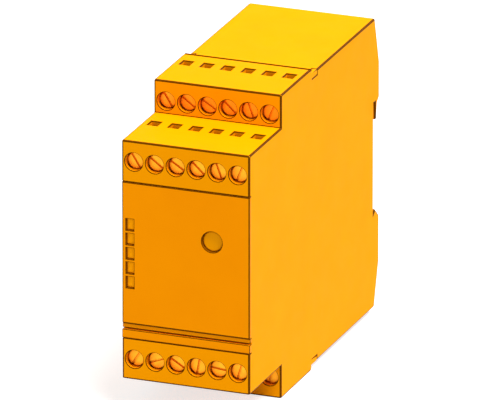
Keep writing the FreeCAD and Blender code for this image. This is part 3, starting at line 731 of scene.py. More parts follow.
@dataclass(frozen=True)
class Finish(ABC):
    """A surface finish."""

    name: str
    colour: Colour
    roughness: float = 0.5

    @abstractmethod
    def build(self) -> bpy.types.Material:
        """Makes the material."""

    def start(self, patch: float, change: float, gloss: float) -> Sheet:
        """Starts the material with a cloudy colour and an uneven gloss.

        Args:
            patch: Size of the colour's clouds in millimetres.
            change: How far the colour changes either way, as a share.
            gloss: Size of the gloss's patches in millimetres.

        Returns:
            The sheet to finish.
        """
        sheet = Sheet(self.name)
        stops = [(0.3, shade(self.colour, 1 - change)), (0.7, shade(self.colour, 1 + change))]
        rough = sheet.spread(sheet.noise(gloss, 4.0), self.roughness - 0.08, self.roughness + 0.1)
        sheet.set(Base_Color=sheet.ramp(sheet.noise(patch, 3.0), stops), Roughness=rough)
        return sheet


@dataclass(frozen=True)
class MouldedPlastic(Finish):
    """A moulded plastic with a fine eroded grain, faint flow marks and a slightly uneven gloss."""

    specular: float = 0.3
    glint: Colour = WHITE
    grain: float = 0.22
    depth: float = 0.012

    def build(self) -> bpy.types.Material:
        """Makes the material."""
        sheet = self.start(patch=14.0, change=0.025, gloss=5.0)
        sheet.set(Specular_IOR_Level=self.specular, Specular_Tint=solid(self.glint))
        sheet.bump(sheet.noise(self.grain), self.depth)
        return sheet.material


@dataclass(frozen=True)
class PlatedMetal(Finish):
    """A plated metal with fine drawn lines and small dull patches."""

    lines: Point = (1.0, 1.0, 12.0)
    size: float = 0.5
    depth: float = 0.006

    def build(self) -> bpy.types.Material:
        """Makes the material."""
        sheet = self.start(patch=2.4, change=0.12, gloss=1.6)
        sheet.set(Metallic=1.0)
        sheet.bump(sheet.noise(self.size, 2.0, self.lines), self.depth)
        return sheet.material


@dataclass(frozen=True)
class BandedMetal(Finish):
    """Metal in even layers or turns: stacked laminations or wound wire."""

    step: float = 0.5
    axis: Axis = Axis.Y
    grain: float = 0.3
    depth: float = 0.01

    def build(self) -> bpy.types.Material:
        """Makes the material."""
        sheet = self.start(patch=6.0, change=0.15, gloss=2.0)
        sheet.set(Metallic=1.0)
        sheet.bump(sheet.bands(self.step, self.axis, 0.15), self.step * 0.4)
        sheet.bump(sheet.noise(self.grain), self.depth)
        return sheet.material


@dataclass(frozen=True)
class ClearResin(Finish):
    """A clear or milky resin that some light passes through, with painted light as a glow where it has one.
    """

    transmission: float = 0.2
    specular: float = 0.5
    glint: Colour = WHITE
    # glow is painted light: an emission that brightens the resin though nothing lights it from within.
    glow: float = 0.0
    grain: float = 0.6
    depth: float = 0.004

    def build(self) -> bpy.types.Material:
        """Makes the material."""
        sheet = self.start(patch=1.1, change=0.05, gloss=0.5)
        # The emission is painted light, set by glow; it is 0 unless a finish sets one.
        sheet.set(Emission_Color=solid(self.colour), Emission_Strength=self.glow)
        sheet.set(Transmission_Weight=self.transmission, IOR=1.49)
        sheet.set(Specular_IOR_Level=self.specular, Specular_Tint=solid(self.glint))
        sheet.bump(sheet.noise(self.grain), self.depth)
        return sheet.material


@dataclass(frozen=True)
class BoardLaminate(Finish):
    """Glass-fibre board under solder mask, with the copper tracks raised below it."""

    track: Colour = (0.06, 0.3, 0.12)
    pitch: float = 2.54
    track_depth: float = 0.035
    weave: float = 0.4
    weave_depth: float = 0.006

    def build(self) -> bpy.types.Material:
        """Makes the material."""
        sheet = self.start(patch=9.0, change=0.08, gloss=3.0)
        grid = sheet.add(
            "TexBrick", Vector=sheet.scaled(self.pitch), Scale=1.0, Mortar_Size=0.09,
            Color1=solid(self.colour), Color2=solid(shade(self.colour, 0.86)), Mortar=solid(self.track),
        )
        sheet.set(Base_Color=grid.outputs["Color"])
        sheet.bump(grid.outputs["Fac"], self.track_depth)
        sheet.bump(sheet.noise(self.weave, 2.0, (1.0, 1.0, 2.0)), self.weave_depth)
        return sheet.material


AMBER_GLINT = (1.0, 0.62, 0.0)


def amber(name: str, colour: Colour, roughness: float = 0.5, **settings: float) -> MouldedPlastic:
    """An amber plastic whose gloss is amber too, and faint unless its settings say more."""
    return MouldedPlastic(name, colour, roughness, **{"specular": 0.05, "glint": AMBER_GLINT, **settings})


AMBER_SHELL = amber("amber_shell", (1.0, 0.345, 0.0), 0.55, specular=0.02)
# Painted shade: a dark amber laid on rounded edges, seams and wire-entry lead-ins as shade lines along them;
# the moulding itself is one amber.
AMBER_PAINTED_EDGE_SHADE = amber("amber_edge", (0.12, 0.034, 0.0))
# Painted shade: a darker amber laid on the walls of the cover's windows and bore, where shade falls in the
# recesses.
AMBER_PAINTED_WALL_SHADE = amber("amber_shade", (0.3, 0.092, 0.0))
AMBER_PANEL = amber("amber_panel", (1.0, 0.31, 0.0), grain=0.16)
AMBER_CAP = amber("amber_cap", (1.0, 0.36, 0.0), 0.42, specular=0.2, grain=0.3)
AMBER_INSULATOR = amber("amber_insulator", (0.95, 0.33, 0.0))
# Painted light: the lens glows at 0.18 to brighten it in the shade of its recess; the lamps behind it are not
# lit.
AMBER_LENS = ClearResin(
    "amber_lens", (1.0, 0.36, 0.0), 0.34, transmission=0.05, specular=0.16, glint=AMBER_GLINT, glow=0.18
)
GOLDEN_ZINC = PlatedMetal("golden_zinc", (1.0, 0.4, 0.02), 0.5)
BRIGHT_ZINC = PlatedMetal("bright_zinc", (0.74, 0.74, 0.75), 0.34)
TINNED_BRASS = PlatedMetal("tinned_brass", (0.8, 0.68, 0.48), 0.34, lines=(12.0, 1.0, 1.0))
SOLDER = PlatedMetal("solder", (0.66, 0.66, 0.68), 0.3, lines=EVEN, size=0.3)
ALUMINIUM = PlatedMetal("aluminium", (0.8, 0.8, 0.81), 0.36, lines=(1.0, 6.0, 1.0), size=0.4)
SPRING_STEEL = PlatedMetal("spring_steel", (0.56, 0.56, 0.57), 0.3, lines=(1.0, 8.0, 1.0))
GREEN_BOARD = BoardLaminate("green_board", (0.015, 0.16, 0.05), 0.36)
BLACK_PLASTIC = MouldedPlastic("black_plastic", (0.025, 0.025, 0.027), 0.55)
DARK_LATCH = MouldedPlastic("dark_latch", (0.05, 0.05, 0.052))
GREY_CASE = MouldedPlastic("grey_relay_case", (0.5, 0.51, 0.52), 0.34)
WHITE_CERAMIC = MouldedPlastic("white_ceramic", (0.8, 0.79, 0.74), 0.4, grain=0.12)
MILKY_RESIN = ClearResin("milky_resin", (0.85, 0.85, 0.78), 0.22, transmission=0.3)
NATURAL_PLASTIC = MouldedPlastic("natural_plastic", (0.74, 0.72, 0.64), 0.45)
CORE_IRON = BandedMetal("core_iron", (0.2, 0.19, 0.19), step=0.5, axis=Axis.Y)
WOUND_COPPER = BandedMetal("wound_copper", (0.74, 0.3, 0.12), 0.36, step=0.32, axis=Axis.X)
DARK_SLEEVE = MouldedPlastic("dark_sleeve", (0.03, 0.04, 0.09), 0.3, grain=0.8)
PALE_STRIPE = MouldedPlastic("pale_stripe", (0.6, 0.62, 0.66), 0.32, grain=0.8)
FUSE_BROWN = MouldedPlastic("fuse_brown", (0.1, 0.035, 0.02), 0.4)


@cache
def material(finish: Finish) -> bpy.types.Material:
    """The material of a finish, made once."""
    return finish.build()


def paint(piece: Piece, *finishes: Finish) -> Piece:
    """Gives a piece its finishes, the first of them all over.

    Args:
        piece: The piece.
        finishes: Its finishes.

    Returns:
        The piece.
    """
    piece.data.materials.clear()
    for finish in finishes:
        piece.data.materials.append(material(finish))
    return piece


def dress(part: Piece, finish: Finish, width: float = 0.0, segments: int = 2) -> Piece:
    """Gives a part its finish, rounds its sharp edges and shades it smooth.

    Args:
        part: The part.
        finish: Its finish.
        width: Width of the rounding in millimetres, or 0 for none.
        segments: Number of strips over the rounding.

    Returns:
        The part.
    """
    paint(part, finish)
    return soften(part, width, segments) if width else smooth(part)


def place(piece: Piece, slot: str, *nodes: str, body: Body = Body.HOUSING) -> None:
    """Puts a finished piece on its body.

    Args:
        piece: The piece.
        slot: The record's material slot; not used.
        nodes: The CAD nodes that it stands for.
        body: The body that it rides on.
    """
    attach(piece, body.value)
    if nodes:
        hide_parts(*nodes)
    log.info("  %s on %s: %d faces", piece.name, body.value, len(piece.data.polygons))


def stand_in(node: str, name: str, finish: Finish, width: float, slot: str) -> None:
    """Places a copy of a CAD node, with its edges rounded, instead of the node.

    Args:
        node: The CAD node.
        name: The piece's name.
        finish: Its finish.
        width: Width of the rounding in millimetres.
        slot: The record's material slot.
    """
    place(dress(merged_copy(node, name), finish, width), slot, node)


# --------------------------------------------------------------------- pieces


class SubAssembly(ABC):
    """A group of pieces that are built together."""

    @abstractmethod
    def build(self) -> None:
        """Models, finishes and places the group's pieces."""


@dataclass
class Shells(SubAssembly):
    """The front hood, the pot behind it, the panel carrier and the cover plate."""

    edge: float = 0.25
    panel_edge: float = 0.2
    tab: float = 3.0
    plate_thickness: float = 1.8
    strip_depth: float = 0.5
    strip_height: float = 1.6
    line_inset: float = 1.0
    line_width: float = 0.8
    line_depth: float = 0.4
    lead_in: float = 0.4
    entry_reach: float = 2.0
    margin: float = 1.0
    slack: float = 0.1

    def __post_init__(self) -> None:
        """Reads the side wall, the cover, the seams and the wire entries from the frame."""
        self.side = span("front_housing")[1].x
        self.plate = span("front_cover")
        self.split = span("rear_housing")[0].y + self.tab
        self.plate_back = self.plate[0].y + self.plate_thickness
        mounts = frame["record"]["mounts"]
        self.entries = [Vector(row["pos_m"]) / MM for row in mounts if row["name"].endswith("wire_entries")]

    def at_seam(self, a: Vector, b: Vector) -> bool:
        """Whether an edge lies on a side wall where two mouldings meet.

        Args:
            a: One end of the edge, in millimetres.
            b: The other end.

        Returns:
            Whether it does.
        """
        on_wall = min(abs(a.x), abs(b.x)) > self.side - self.slack
        far = (max(abs(a.y - seam), abs(b.y - seam)) for seam in (self.split, self.plate_back))
        return on_wall and min(far) < 3 * self.slack

    def at_entry(self, point: Vector) -> bool:
        """Whether a point lies on the lip or the lead-in of a wire entry.

        Args:
            point: The point in millimetres.

        Returns:
            Whether it does.
        """
        depth = self.lead_in + self.slack
        near = self.entry_reach + depth
        return any(abs(point.y - row.y) < near and abs(point.z - row.z) < depth for row in self.entries)

    def on_lip(self, a: Vector, b: Vector) -> bool:
        """Whether an edge is part of a wire entry's lip."""
        return self.at_entry(a) and self.at_entry(b) and abs(a.z - b.z) < self.slack

    def is_rounded(self, a: Vector, b: Vector) -> bool:
        """Whether an edge is rounded: neither a seam nor part of a wire entry."""
        return not (self.at_seam(a, b) or self.at_entry(a) or self.at_entry(b))

    def finished(self, shell: Piece, width: float, slot: str, node: str) -> None:
        """Rounds a moulding's edges with painted dark shade along them, and puts it in place.

        Args:
            shell: The moulding, in its own finish and the painted edge shade.
            width: Width of the rounding in millimetres.
            slot: The record's material slot.
            node: The CAD node that it stands for.
        """
        with Shaping(shell) as shape:
            # The lead-ins and the rounded edges take finish 1, the painted dark shade along the edges.
            shape.edges(self.on_lip, LIP).bevel(self.lead_in, 1, 1)
            shape.edges(self.is_rounded, SHARP).bevel(width, 2, 1)
        place(smooth(shell), slot, node)

    def on_window(self, centre: Vector, normal: Vector) -> bool:
        """Whether a face of the cover is a wall of a window or of the button's bore.

        Args:
            centre: The face's middle in millimetres.
            normal: Its direction.

        Returns:
            Whether it is.
        """
        low, high = self.plate
        across = low.x + self.margin < centre.x < high.x - self.margin
        return abs(normal.y) < 0.1 and across and low.z + self.margin < centre.z < high.z - self.margin

    def hood(self) -> Piece:
        """The front hood, with a fine groove across its top before the rear rim."""
        _, high = span("front_housing")
        middle = Vector((0.0, self.split - self.line_inset, high.z))
        reach = Vector((high.x + 1.0, self.line_width / 2, self.line_depth))
        hood = merged_copy("front_housing", "front_shell")
        return combine(hood, block("groove", middle - reach, middle + reach))

    def carrier(self) -> Piece:
        """The panel carrier, with a raised strip in the groove under the cover plate."""
        low, high = span("panel_carrier")
        top = self.plate[0].z
        start = Vector((low.x, low.y + self.strip_depth, top - self.strip_height))
        strip = block("strip", start, (high.x, self.plate_back + 0.2, top - 0.05))
        return combine(merged_copy("panel_carrier", "carrier_frame"), strip, "UNION")

    def cover(self) -> Piece:
        """The cover plate, with painted shade on the walls of its windows and its bore."""
        cover = merged_copy("front_cover", "cover_plate")
        paint(cover, AMBER_PANEL, AMBER_PAINTED_EDGE_SHADE, AMBER_PAINTED_WALL_SHADE)
        # Finish 2, painted shade, goes on the window and bore walls; finish 1 is the painted edge shade.
        with Shaping(cover) as shape:
            shape.faces(self.on_window).finish(2)
        return cover

    def build(self) -> None:
        """Models, finishes and places the four mouldings."""
        # The second finish of each moulding is the painted dark shade for its edges.
        hood = paint(self.hood(), AMBER_SHELL, AMBER_PAINTED_EDGE_SHADE)
        pot = paint(merged_copy("rear_housing", "rear_shell"), AMBER_SHELL, AMBER_PAINTED_EDGE_SHADE)
        carrier = paint(self.carrier(), AMBER_PANEL, AMBER_PAINTED_EDGE_SHADE)
        self.finished(hood, self.edge, "housing_plastic", "front_housing")
        self.finished(pot, self.edge, "housing_plastic", "rear_housing")
        self.finished(carrier, self.panel_edge, "panel_plastic", "panel_carrier")
        self.finished(self.cover(), self.panel_edge, "panel_plastic", "front_cover")


@dataclass
class TerminalRow(SubAssembly):
    """One row of screw terminals: screws, clamp cages, contact bars and the block round them."""

    row: Row
    head_radius: float = 2.95
    head_height: float = 2.0
    slot_width: float = 0.8
    slot_depth: float = 0.9
    thread_radius: float = 1.45
    thread_depth: float = 0.3
    thread_pitch: float = 0.5
    thread_share: float = 0.84
    thread_start: float = 0.2
    plain_end: float = 1.2
    shank_length: float = 12.4
    cage_width: float = 5.99
    cage_wall: float = 1.0
    cage_bend: float = 0.8
    tap_radius: float = 1.52
    grip_radius: float = 0.25
    grip_length: float = 2.8
    grip_inset: float = 1.6
    grip_base: float = 1.2
    grip_step: float = 1.5
    grips: int = 5
    bar_width: float = 3.0
    pocket_step: float = 0.9
    pocket_rim: float = 0.16
    pocket_depth: float = 0.14
    pockets: int = 5
    turn_step: float = 29.0
    turn_growth: float = 8.0

    def __post_init__(self) -> None:
        """Lists how far each terminal stands from the first."""
        self.offsets = lattice((Axis.X, TERMINAL_PITCH, TERMINALS))

    def thread(self) -> Piece:
        """A helical ridge round the world's Y axis, starting at the origin."""
        root, crest = self.thread_radius - self.thread_depth, self.thread_radius
        width = self.thread_share * self.thread_pitch
        profile = ((root, 0.0, 0.0), (crest, width / 2, 0.0), (root, width, 0.0), (root, 0.0, 0.0))
        ridge = outline("thread", profile)
        turns = int((self.shank_length - self.plain_end) / self.thread_pitch)
        modify(
            ridge, "SCREW", axis="Y", screw_offset=self.thread_pitch * MM, iterations=turns,
            steps=12, render_steps=12, use_merge_vertices=True, merge_threshold=1e-7,
        )
        with Shaping(ridge) as shape:
            shape.close()
        return ridge

    def screw(self, middle: Vector) -> Piece:
        """Models one screw with a chamfered, slotted head and a threaded shank.

        Args:
            middle: The middle of the head's front face.

        Returns:
            The screw.
        """
        rim, back, neck = self.head_radius, self.head_height, self.thread_radius - self.thread_depth / 2
        end = back + self.shank_length
        profile = (
            (0.0, 0.0), (0.0, rim - 0.35), (0.1, rim - 0.12), (0.3, rim), (back - 0.2, rim),
            (back, rim - 0.2), (back, neck), (end - 0.5, neck), (end, neck - 0.5), (end, 0.0),
        )
        screw = lathe("screw", profile, middle, Axis.Y, 36)
        reach = Vector((rim + 0.2, 0.0, self.slot_width / 2))
        front, floor = Vector((0.0, 0.5, 0.0)), Vector((0.0, self.slot_depth, 0.0))
        combine(screw, block("slot", middle - reach - front, middle + reach + floor))
        thread = self.thread()
        ridge = copied(thread, middle + Vector((0.0, back + self.thread_start, 0.0)))
        bpy.data.objects.remove(thread)
        return paint(combine(screw, ridge, "UNION"), GOLDEN_ZINC)

    def screws(self) -> None:
        """Models the row's screws, each left at its own angle."""
        node = f"{self.row.value}_terminal_screws"
        low, high = span(node)
        first = Vector((low.x + self.head_radius, low.y, (low.z + high.z) / 2))
        model = self.screw(first)
        screws = []
        for index, offset in enumerate(self.offsets):
            screw = copied(model, offset)
            angle = self.turn_step * self.row.upward * (index - 2) - self.turn_growth * index * index
            with Shaping(screw) as shape:
                shape.everything().turn(angle, Axis.Y, first + offset)
            screws.append(screw)
        bpy.data.objects.remove(model)
        place(smooth(join(f"{self.row.value}_screws", screws)), "screw_steel", node)

    def cages(self) -> None:
        """Models the clamp cages: strip folded round the wire, tapped for the screw, with a grooved grip."""
        node = f"{self.row.value}_clamp_cages"
        low, high = span(node)
        right = low.x + self.cage_width
        cage = block("cage", low, (right, high.y, high.z))
        with Shaping(cage) as shape:
            shape.faces(lambda centre, normal: abs(normal.z) > 0.9)
            bpy.ops.mesh.delete(type="FACE")
            shape.edges(along(Axis.Z)).bevel(self.cage_bend, 3)
        modify(cage, "SOLIDIFY", thickness=self.cage_wall * MM, offset=-1.0, use_even_offset=True)
        hole = Vector(((low.x + right) / 2, low.y - 0.5, (low.z + high.z) / 2))
        combine(cage, rod("hole", hole, self.cage_wall + 1.0, self.tap_radius, Axis.Y, 24))
        start = (low.x + self.grip_inset, high.y - self.cage_wall, low.z + self.grip_base)
        groove = rod("groove", start, self.grip_length, self.grip_radius, Axis.X, 8)
        combine(cage, array("grooves", groove, lattice((Axis.Z, self.grip_step, self.grips))))
        dress(cage, BRIGHT_ZINC, 0.1, 1)
        place(array(f"{self.row.value}_cages", cage, self.offsets), "cage_steel", node)

    def bars(self) -> None:
        """Models the contact bars, with a grip of small pockets where the wire lies."""
        node = f"{self.row.value}_contact_bars"
        low, high = span(node)
        tip = high.z if self.row.upward > 0 else low.z
        bar = block("bar", low, (low.x + self.bar_width, high.y, high.z))
        reach = self.pocket_step * self.pockets
        with Shaping(bar) as shape:
            for index in range(1, self.pockets + 1):
                level = tip - self.row.upward * self.pocket_step * index
                shape.everything().bisect((low.x, low.y, level), Axis.Z)
            shape.faces(lambda centre, normal: normal.y < -0.9 and abs(centre.z - tip) < reach)
            shape.inset(self.pocket_rim, self.pocket_depth, each=True)
        dress(bar, TINNED_BRASS, 0.08, 1)
        place(array(f"{self.row.value}_bars", bar, self.offsets), "contact_brass", node)

    def build(self) -> None:
        """Models, finishes and places the row's pieces."""
        self.screws()
        self.cages()
        self.bars()
        node = f"{self.row.value}_terminal_block"
        stand_in(node, f"{self.row.value}_insulator", AMBER_INSULATOR, 0.15, "terminal_plastic")


@dataclass
class Indicators(SubAssembly):
    """The light guides in the cover plate and the lamps behind them."""

    head_depth: float = 1.0
    crown: float = 0.3
    crown_steps: tuple[Pair, ...] = ((0.25, 0.6), (0.35, 0.3), (0.4, 0.1))
    shoulder: float = 0.4
    lamp_height: float = 2.4
    lamp_base: float = 1.1
    lamp_end: float = 0.5
    end_depth: float = 0.8
    base_inset: float = 0.3
    dome_inset: Point = (0.25, 0.3, 0.6)

    def guide(self, number: int) -> None:
        """Models one light guide: a crowned window with a narrower stem behind it.

        Args:
            number: Its number, from 1 at the top.
        """
        node = f"status_lens_{number}"
        low, high = span(node)
        head = Vector((high.x, low.y + self.head_depth, high.z))
        guide = block(f"light_guide_{number}", low + Vector((0.0, self.crown, 0.0)), head)
        stepped(guide, FRONT, *((width, -share * self.crown) for width, share in self.crown_steps))
        with Shaping(guide) as shape:
            shape.faces(REAR).inset(self.shoulder)
            shape.extrude((0.0, high.y - head.y - self.crown, 0.0)).inset(0.3, -self.crown)
        place(dress(guide, AMBER_LENS, 0.08), "lens_plastic", node)

    def lamps(self) -> None:
        """Models the lamps: a white base with metal ends and a milky dome."""
        low, high = span("status_leds")
        top, end, inset = low.z + self.lamp_height, self.lamp_end, self.base_inset
        start = (low.x, high.y - self.lamp_base, low.z + inset)
        base = block("lamp_base", start, (high.x, high.y, top - inset))
        stepped(base, FRONT, (0.15, -0.05))
        cap = block("lamp_end", (low.x, high.y - self.end_depth, low.z), (high.x, high.y, low.z + end))
        caps = array("lamp_ends", cap, lattice((Axis.Z, self.lamp_height - end, 2)))
        side, front, rise = self.dome_inset
        start = (low.x + side, low.y + front, low.z + rise)
        dome = block("lamp_dome", start, (high.x - side, high.y - self.lamp_base + 0.1, top - rise))
        stepped(dome, FRONT, (0.2, -0.2), (0.15, -0.1))
        parts = [
            dress(base, WHITE_CERAMIC, 0.08, 1), dress(caps, SOLDER, 0.08, 1),
            smooth(paint(dome, MILKY_RESIN), 50.0),
        ]
        guides = [span(f"status_lens_{number + 1}")[0].z for number in range(LENSES)]
        levels = [(0.0, 0.0, level - guides[-1]) for level in guides]
        place(array("indicator_lamps", join("lamp", parts), levels), "led_resin", "status_leds")

    def build(self) -> None:
        """Models, finishes and places the light guides and lamps."""
        for number in range(1, LENSES + 1):
            self.guide(number)
        self.lamps()


@dataclass
class ResetButton(SubAssembly):
    """The reset cap with its flange, the plunger behind it and the switch that it works."""

    cap_radius: float = 3.5
    flange_height: float = 0.8
    dish: float = 0.12
    pad: float = 0.25
    pad_rim: float = 0.5
    bore: float = 3.3
    bore_depth: float = 2.8
    plate: float = 0.25
    plate_rim: float = 0.2
    rivet: float = 0.35
    rivet_inset: float = 0.75
    leg: Point = (0.6, 2.5, 0.3)
    leg_sink: float = 0.6
    leg_spread: float = 4.4
    leg_rise: float = 5.2

    def cap(self) -> None:
        """Turns the cap: a dished face with a rounded rim, and the flange that keeps it in."""
        low, high = span("reset_button")
        middle = Vector(((low.x + high.x) / 2, low.y, (low.z + high.z) / 2))
        depth, flange, rim = high.y - low.y, (high.x - low.x) / 2, self.cap_radius
        back = depth - self.flange_height
        profile = (
            (self.dish, 0.0), (self.dish * 0.9, 1.1), (self.dish * 0.55, 2.1), (0.04, rim - 0.7),
            (0.0, rim - 0.5), (0.04, rim - 0.3), (0.16, rim - 0.12), (0.36, rim), (back, rim),
            (back, flange - 0.1), (back + 0.1, flange), (depth - 0.1, flange), (depth, flange - 0.1),
            (depth, 0.0),
        )
        cap = smooth(lathe("reset_cap", profile, middle, Axis.Y, 64), SHARP)
        paint(cap, AMBER_CAP)
        place(cap, "button_plastic", "reset_button", body=Body.RESET_BUTTON)

    def plunger(self) -> None:
        """Models the plunger: a square pin with a raised pad."""
        low, high = span("switch_plunger")
        plunger = block("plunger", low + Vector((0.0, self.pad, 0.0)), high)
        with Shaping(plunger) as shape:
            shape.faces(FRONT).inset(self.pad_rim).extrude((0.0, -self.pad, 0.0))
        dress(plunger, NATURAL_PLASTIC, 0.12)
        place(plunger, "plunger_plastic", "switch_plunger", body=Body.RESET_BUTTON)

    def switch(self) -> None:
        """Models the switch: a bored black base under a riveted metal plate, with four legs."""
        low, high = span("reset_switch")
        middle, size, rim = (low + high) / 2, high.x - low.x, self.plate_rim
        base = block("switch_base", low + Vector((0.0, self.plate, 0.0)), high)
        with Shaping(base) as shape:
            shape.faces(FRONT).inset((size - self.bore) / 2)
            shape.extrude((0.0, self.bore_depth - self.plate, 0.0))
        face = (high.x - rim, low.y + self.plate, high.z - rim)
        plate = block("switch_plate", low + Vector((rim, 0.0, rim)), face)
        centre = Vector((middle.x, low.y, middle.z))
        reach = Vector((self.bore / 2, 1.0, self.bore / 2))
        combine(plate, block("window", centre - reach, centre + reach))
        far = size - 2 * self.rivet_inset
        profile = ((0.0, 0.0), (0.02, self.rivet * 0.6), (0.1, self.rivet), (0.3, self.rivet), (0.3, 0.0))
        rivet = lathe("rivet", profile, centre - Vector((far / 2, 0.1, far / 2)), Axis.Y, 16)
        rivets = array("rivets", rivet, lattice((Axis.X, far, 2), (Axis.Z, far, 2)))
        foot = Vector((middle.x - self.leg_spread / 2, high.y - self.leg_sink, middle.z - self.leg_rise / 2))
        thick = Vector((self.leg[0], 0.0, self.leg[2])) / 2
        leg = block("leg", foot - thick, foot + thick + Vector((0.0, self.leg[1], 0.0)))
        stepped(leg, REAR, (0.08, -0.15))
        legs = array("legs", leg, lattice((Axis.X, self.leg_spread, 2), (Axis.Z, self.leg_rise, 2)))
        parts = [
            dress(base, BLACK_PLASTIC, 0.12), dress(plate, BRIGHT_ZINC, 0.06, 1),
            dress(rivets, BLACK_PLASTIC), dress(legs, SOLDER, 0.04, 1),
        ]
        place(join("press_switch", parts), "black_plastic", "reset_switch")

    def build(self) -> None:
        """Models, finishes and places the cap, plunger and switch."""
        self.cap()
        self.plunger()
        self.switch()


@dataclass
class RailFoot(SubAssembly):
    """The latch that grips the rail's lower edge, and the spring that holds it up."""

    rib_pitch: float = 1.5
    rib_count: int = 3
    rib_radius: float = 0.5
    rib_half: float = 5.0
    rib_base: float = 4.0
    taper_depth: float = 1.5
    taper_height: float = 14.1

    def latch(self) -> None:
        """Models the latch, with grip ribs half sunk in the tapered face over its pry slot."""
        low, high = span("rail_latch")
        latch = dress(merged_copy("rail_latch", "latch_body"), DARK_LATCH, 0.25)
        slope = self.taper_depth / self.taper_height
        start = (-self.rib_half, high.y - self.taper_depth + slope * self.rib_base, low.z + self.rib_base)
        rib = rod("rib", start, 2 * self.rib_half, self.rib_radius, Axis.X, 24)
        dress(rib, DARK_LATCH, 0.15)
        steps = [self.rib_pitch * index for index in range(self.rib_count)]
        ribs = array("ribs", rib, [(0.0, slope * step, step) for step in steps])
        place(join("foot_latch", [latch, ribs]), "latch_plastic", "rail_latch", body=Body.RAIL_LATCH)

    def spring(self) -> None:
        """Models the folded strip spring."""
        spring = dress(merged_copy("latch_spring", "strip_spring"), SPRING_STEEL)
        place(spring, "spring_steel", "latch_spring")
        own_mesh(spring)

    def build(self) -> None:
        """Models, finishes and places the latch and spring."""
        self.latch()
        self.spring()


